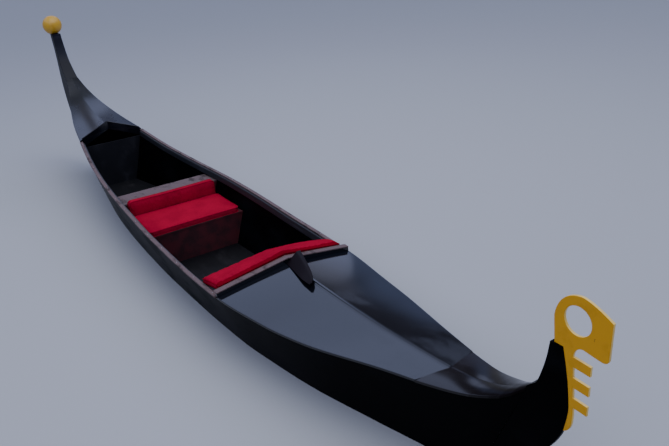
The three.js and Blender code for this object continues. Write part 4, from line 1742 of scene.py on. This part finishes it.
@dataclass(frozen=True)
class Lamp:
    """A round soft light that faces the middle of the boat: its place, width and power."""

    name: str
    place: tuple[float, float, float]
    width: float
    watts: float
    colour: str = "#ffffff"

    def hang(self) -> None:
        """Hang the lamp, turned so that its own z axis points away from the boat's middle."""
        data = bpy.data.lights.new(self.name, "AREA")
        data.shape = "DISK"
        data.size = self.width
        data.energy = self.watts
        data.color = linear(self.colour)[:3]
        made = bpy.data.objects.new(self.name, data)
        away = np.array(self.place) / np.linalg.norm(self.place)
        side = np.cross((0, 0, 1.0), away)
        side /= np.linalg.norm(side)
        axes = Matrix((side, np.cross(away, side), away)).transposed().to_4x4()
        axes.translation = self.place
        made.matrix_world = axes
        bpy.context.scene.collection.objects.link(made)


@dataclass(frozen=True)
class Studio:
    """Pale floor at the waterline, soft light, and a camera at the photograph's place.

    The camera's angles are degrees.
    """

    lines: HullLines
    position: tuple[float, float, float] = (6.587, -2.602, 3.542)
    yaw: float = 147.4
    pitch: float = 24.0
    roll: float = -3.9
    focal_px: float = 725.8
    frame_px: float = 669
    sensor_mm: float = 36
    sees: float = 500.0
    floor_radius: float = 90.0
    # how far out the floor's rings of points lie, as shares of the way
    floor_rings: tuple[float, ...] = (0, 0.01, 0.03, 0.1, 0.3, 1.0)
    # what x and y at the hull are divided by, so that the points spread evenly round the floor's rim
    spread: tuple[float, float] = (4.6, 1.2)
    # sine of the elevation, colour of the sky there
    sky_bands: tuple[tuple[float, str], ...] = (
        (0.0, "#5e6068"), (0.1, "#54555c"), (0.18, "#5c6585"), (0.26, "#616b8d"), (0.31, "#35333a"),
        (0.43, "#33323a"), (0.465, "#b9c4ee"), (0.66, "#b9c4ee"), (0.8, "#7d828e"))
    sky_strength: float = 2.1
    lamps: tuple[Lamp, ...] = (
        Lamp("key_light", (0.5, 1.0, 12.0), 14.0, 950, "#eef2ff"),
        Lamp("fill_light", (8.0, -8.0, 7.0), 5.0, 120),
        Lamp("low_panel", (-7.25, 7.4, 3.9), 1.9, 6, "#d5dcff"))

    def camera(self) -> None:
        """Place the camera by its yaw, its pitch down and its roll."""
        yaw, pitch, roll = (math.radians(a) for a in (self.yaw, self.pitch, self.roll))
        ahead = np.array((math.cos(yaw) * math.cos(pitch), math.sin(yaw) * math.cos(pitch), -math.sin(pitch)))
        level = np.array((math.sin(yaw), -math.cos(yaw), 0))
        upright = np.cross(level, ahead)
        right = math.cos(roll) * level + math.sin(roll) * upright
        up = math.cos(roll) * upright - math.sin(roll) * level
        data = bpy.data.cameras.new("camera")
        data.sensor_width = self.sensor_mm
        data.lens = self.focal_px * self.sensor_mm / self.frame_px
        data.clip_end = self.sees
        made = bpy.data.objects.new("camera", data)
        axes = Matrix((right, up, -ahead)).transposed().to_4x4()
        axes.translation = self.position
        made.matrix_world = axes
        bpy.context.scene.collection.objects.link(made)
        bpy.context.scene.camera = made

    def hole(self) -> np.ndarray:
        """Find the loop where the floor meets the hull, in the middle of the planking.

        At each station it is the point of the plank at the waterline's height, or its foot where
        that lies just above. The loop ends where the bottom has risen out of the water.

        Returns:
            The loop's x and y.
        """
        at = self.lines.stations()
        foot, head = self.lines.foot(at), self.lines.head(at)
        wet = foot[:, 2] <= WATERLINE + self.lines.bottom_mm * MM / 2
        foot, head, at = foot[wet], head[wet], at[wet]
        up = np.clip((WATERLINE - foot[:, 2]) / (head[:, 2] - foot[:, 2]), 0, 1)[:, None]
        side = mix(foot, head, up)[:, :2] + np.stack((0 * at, self.lines.plank(at) / 2), -1)
        return np.concatenate((side, (side * (1, -1))[::-1]))

    def floor(self) -> None:
        """Make the floor: rings that widen from the hull's waterline to a far circle."""
        inner = self.hole()
        angle = np.arctan2(inner[:, 1] / self.spread[1], inner[:, 0] / self.spread[0])
        far = np.stack((np.cos(angle), np.sin(angle)), -1) * self.floor_radius
        rings = mix(inner, far, np.array(self.floor_rings)[:, None, None])
        points = np.concatenate((rings, np.full(rings.shape[:2] + (1,), WATERLINE)), -1)
        mesh = bpy.data.meshes.new("floor")
        mesh.from_pydata(points.reshape(-1, 3).tolist(), [],
                         grid_faces(len(rings), len(inner), False, True).tolist())
        mesh.materials.append(FLOOR_PAINT.material())
        made = bpy.data.objects.new("floor", mesh)
        bpy.context.scene.collection.objects.link(made)

    def sky(self) -> None:
        """Light the scene from all round.

        The sky is grey at the horizon and bluish over it. Then comes a dark band, over that the
        brightest one, and overhead it is dimmer again.
        """
        world = bpy.data.worlds.new("studio")
        bpy.context.scene.world = world
        world.use_nodes = True
        tree = world.node_tree
        where = add_node(tree, "ShaderNodeTexCoord")
        parts = add_node(tree, "ShaderNodeSeparateXYZ", links={0: where.outputs["Generated"]})
        bands = add_node(tree, "ShaderNodeValToRGB", links={0: parts.outputs["Z"]})
        stops = bands.color_ramp.elements
        for height, _ in self.sky_bands[1:-1]:
            stops.new(height)
        for stop, (height, colour) in zip(stops, self.sky_bands):
            stop.position, stop.color = height, linear(colour)
        background = tree.nodes["Background"]
        background.inputs["Strength"].default_value = self.sky_strength
        tree.links.new(bands.outputs["Color"], background.inputs["Color"])

    def build(self) -> None:
        """Set up the camera, the floor and the lights."""
        self.camera()
        self.floor()
        self.sky()
        for lamp in self.lamps:
            lamp.hang()


def main() -> None:
    logging.basicConfig(level=logging.INFO, format="%(name)s: %(message)s")
    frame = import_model()
    lines = HullLines()
    Studio(lines).build()
    hull = Hull(lines)
    hull.build()
    Decks(lines).build()
    coaming = Coaming(lines)
    coaming.build()
    Trim(lines).build()
    BowIron(hull.stem_front).build()
    SternBall().build()
    DeckHorn().build()
    Upholstery(ShelfCover(lines, coaming)).build()
    FlatBoards().build(frame["nodes"])


if __name__ == "__main__":
    main()
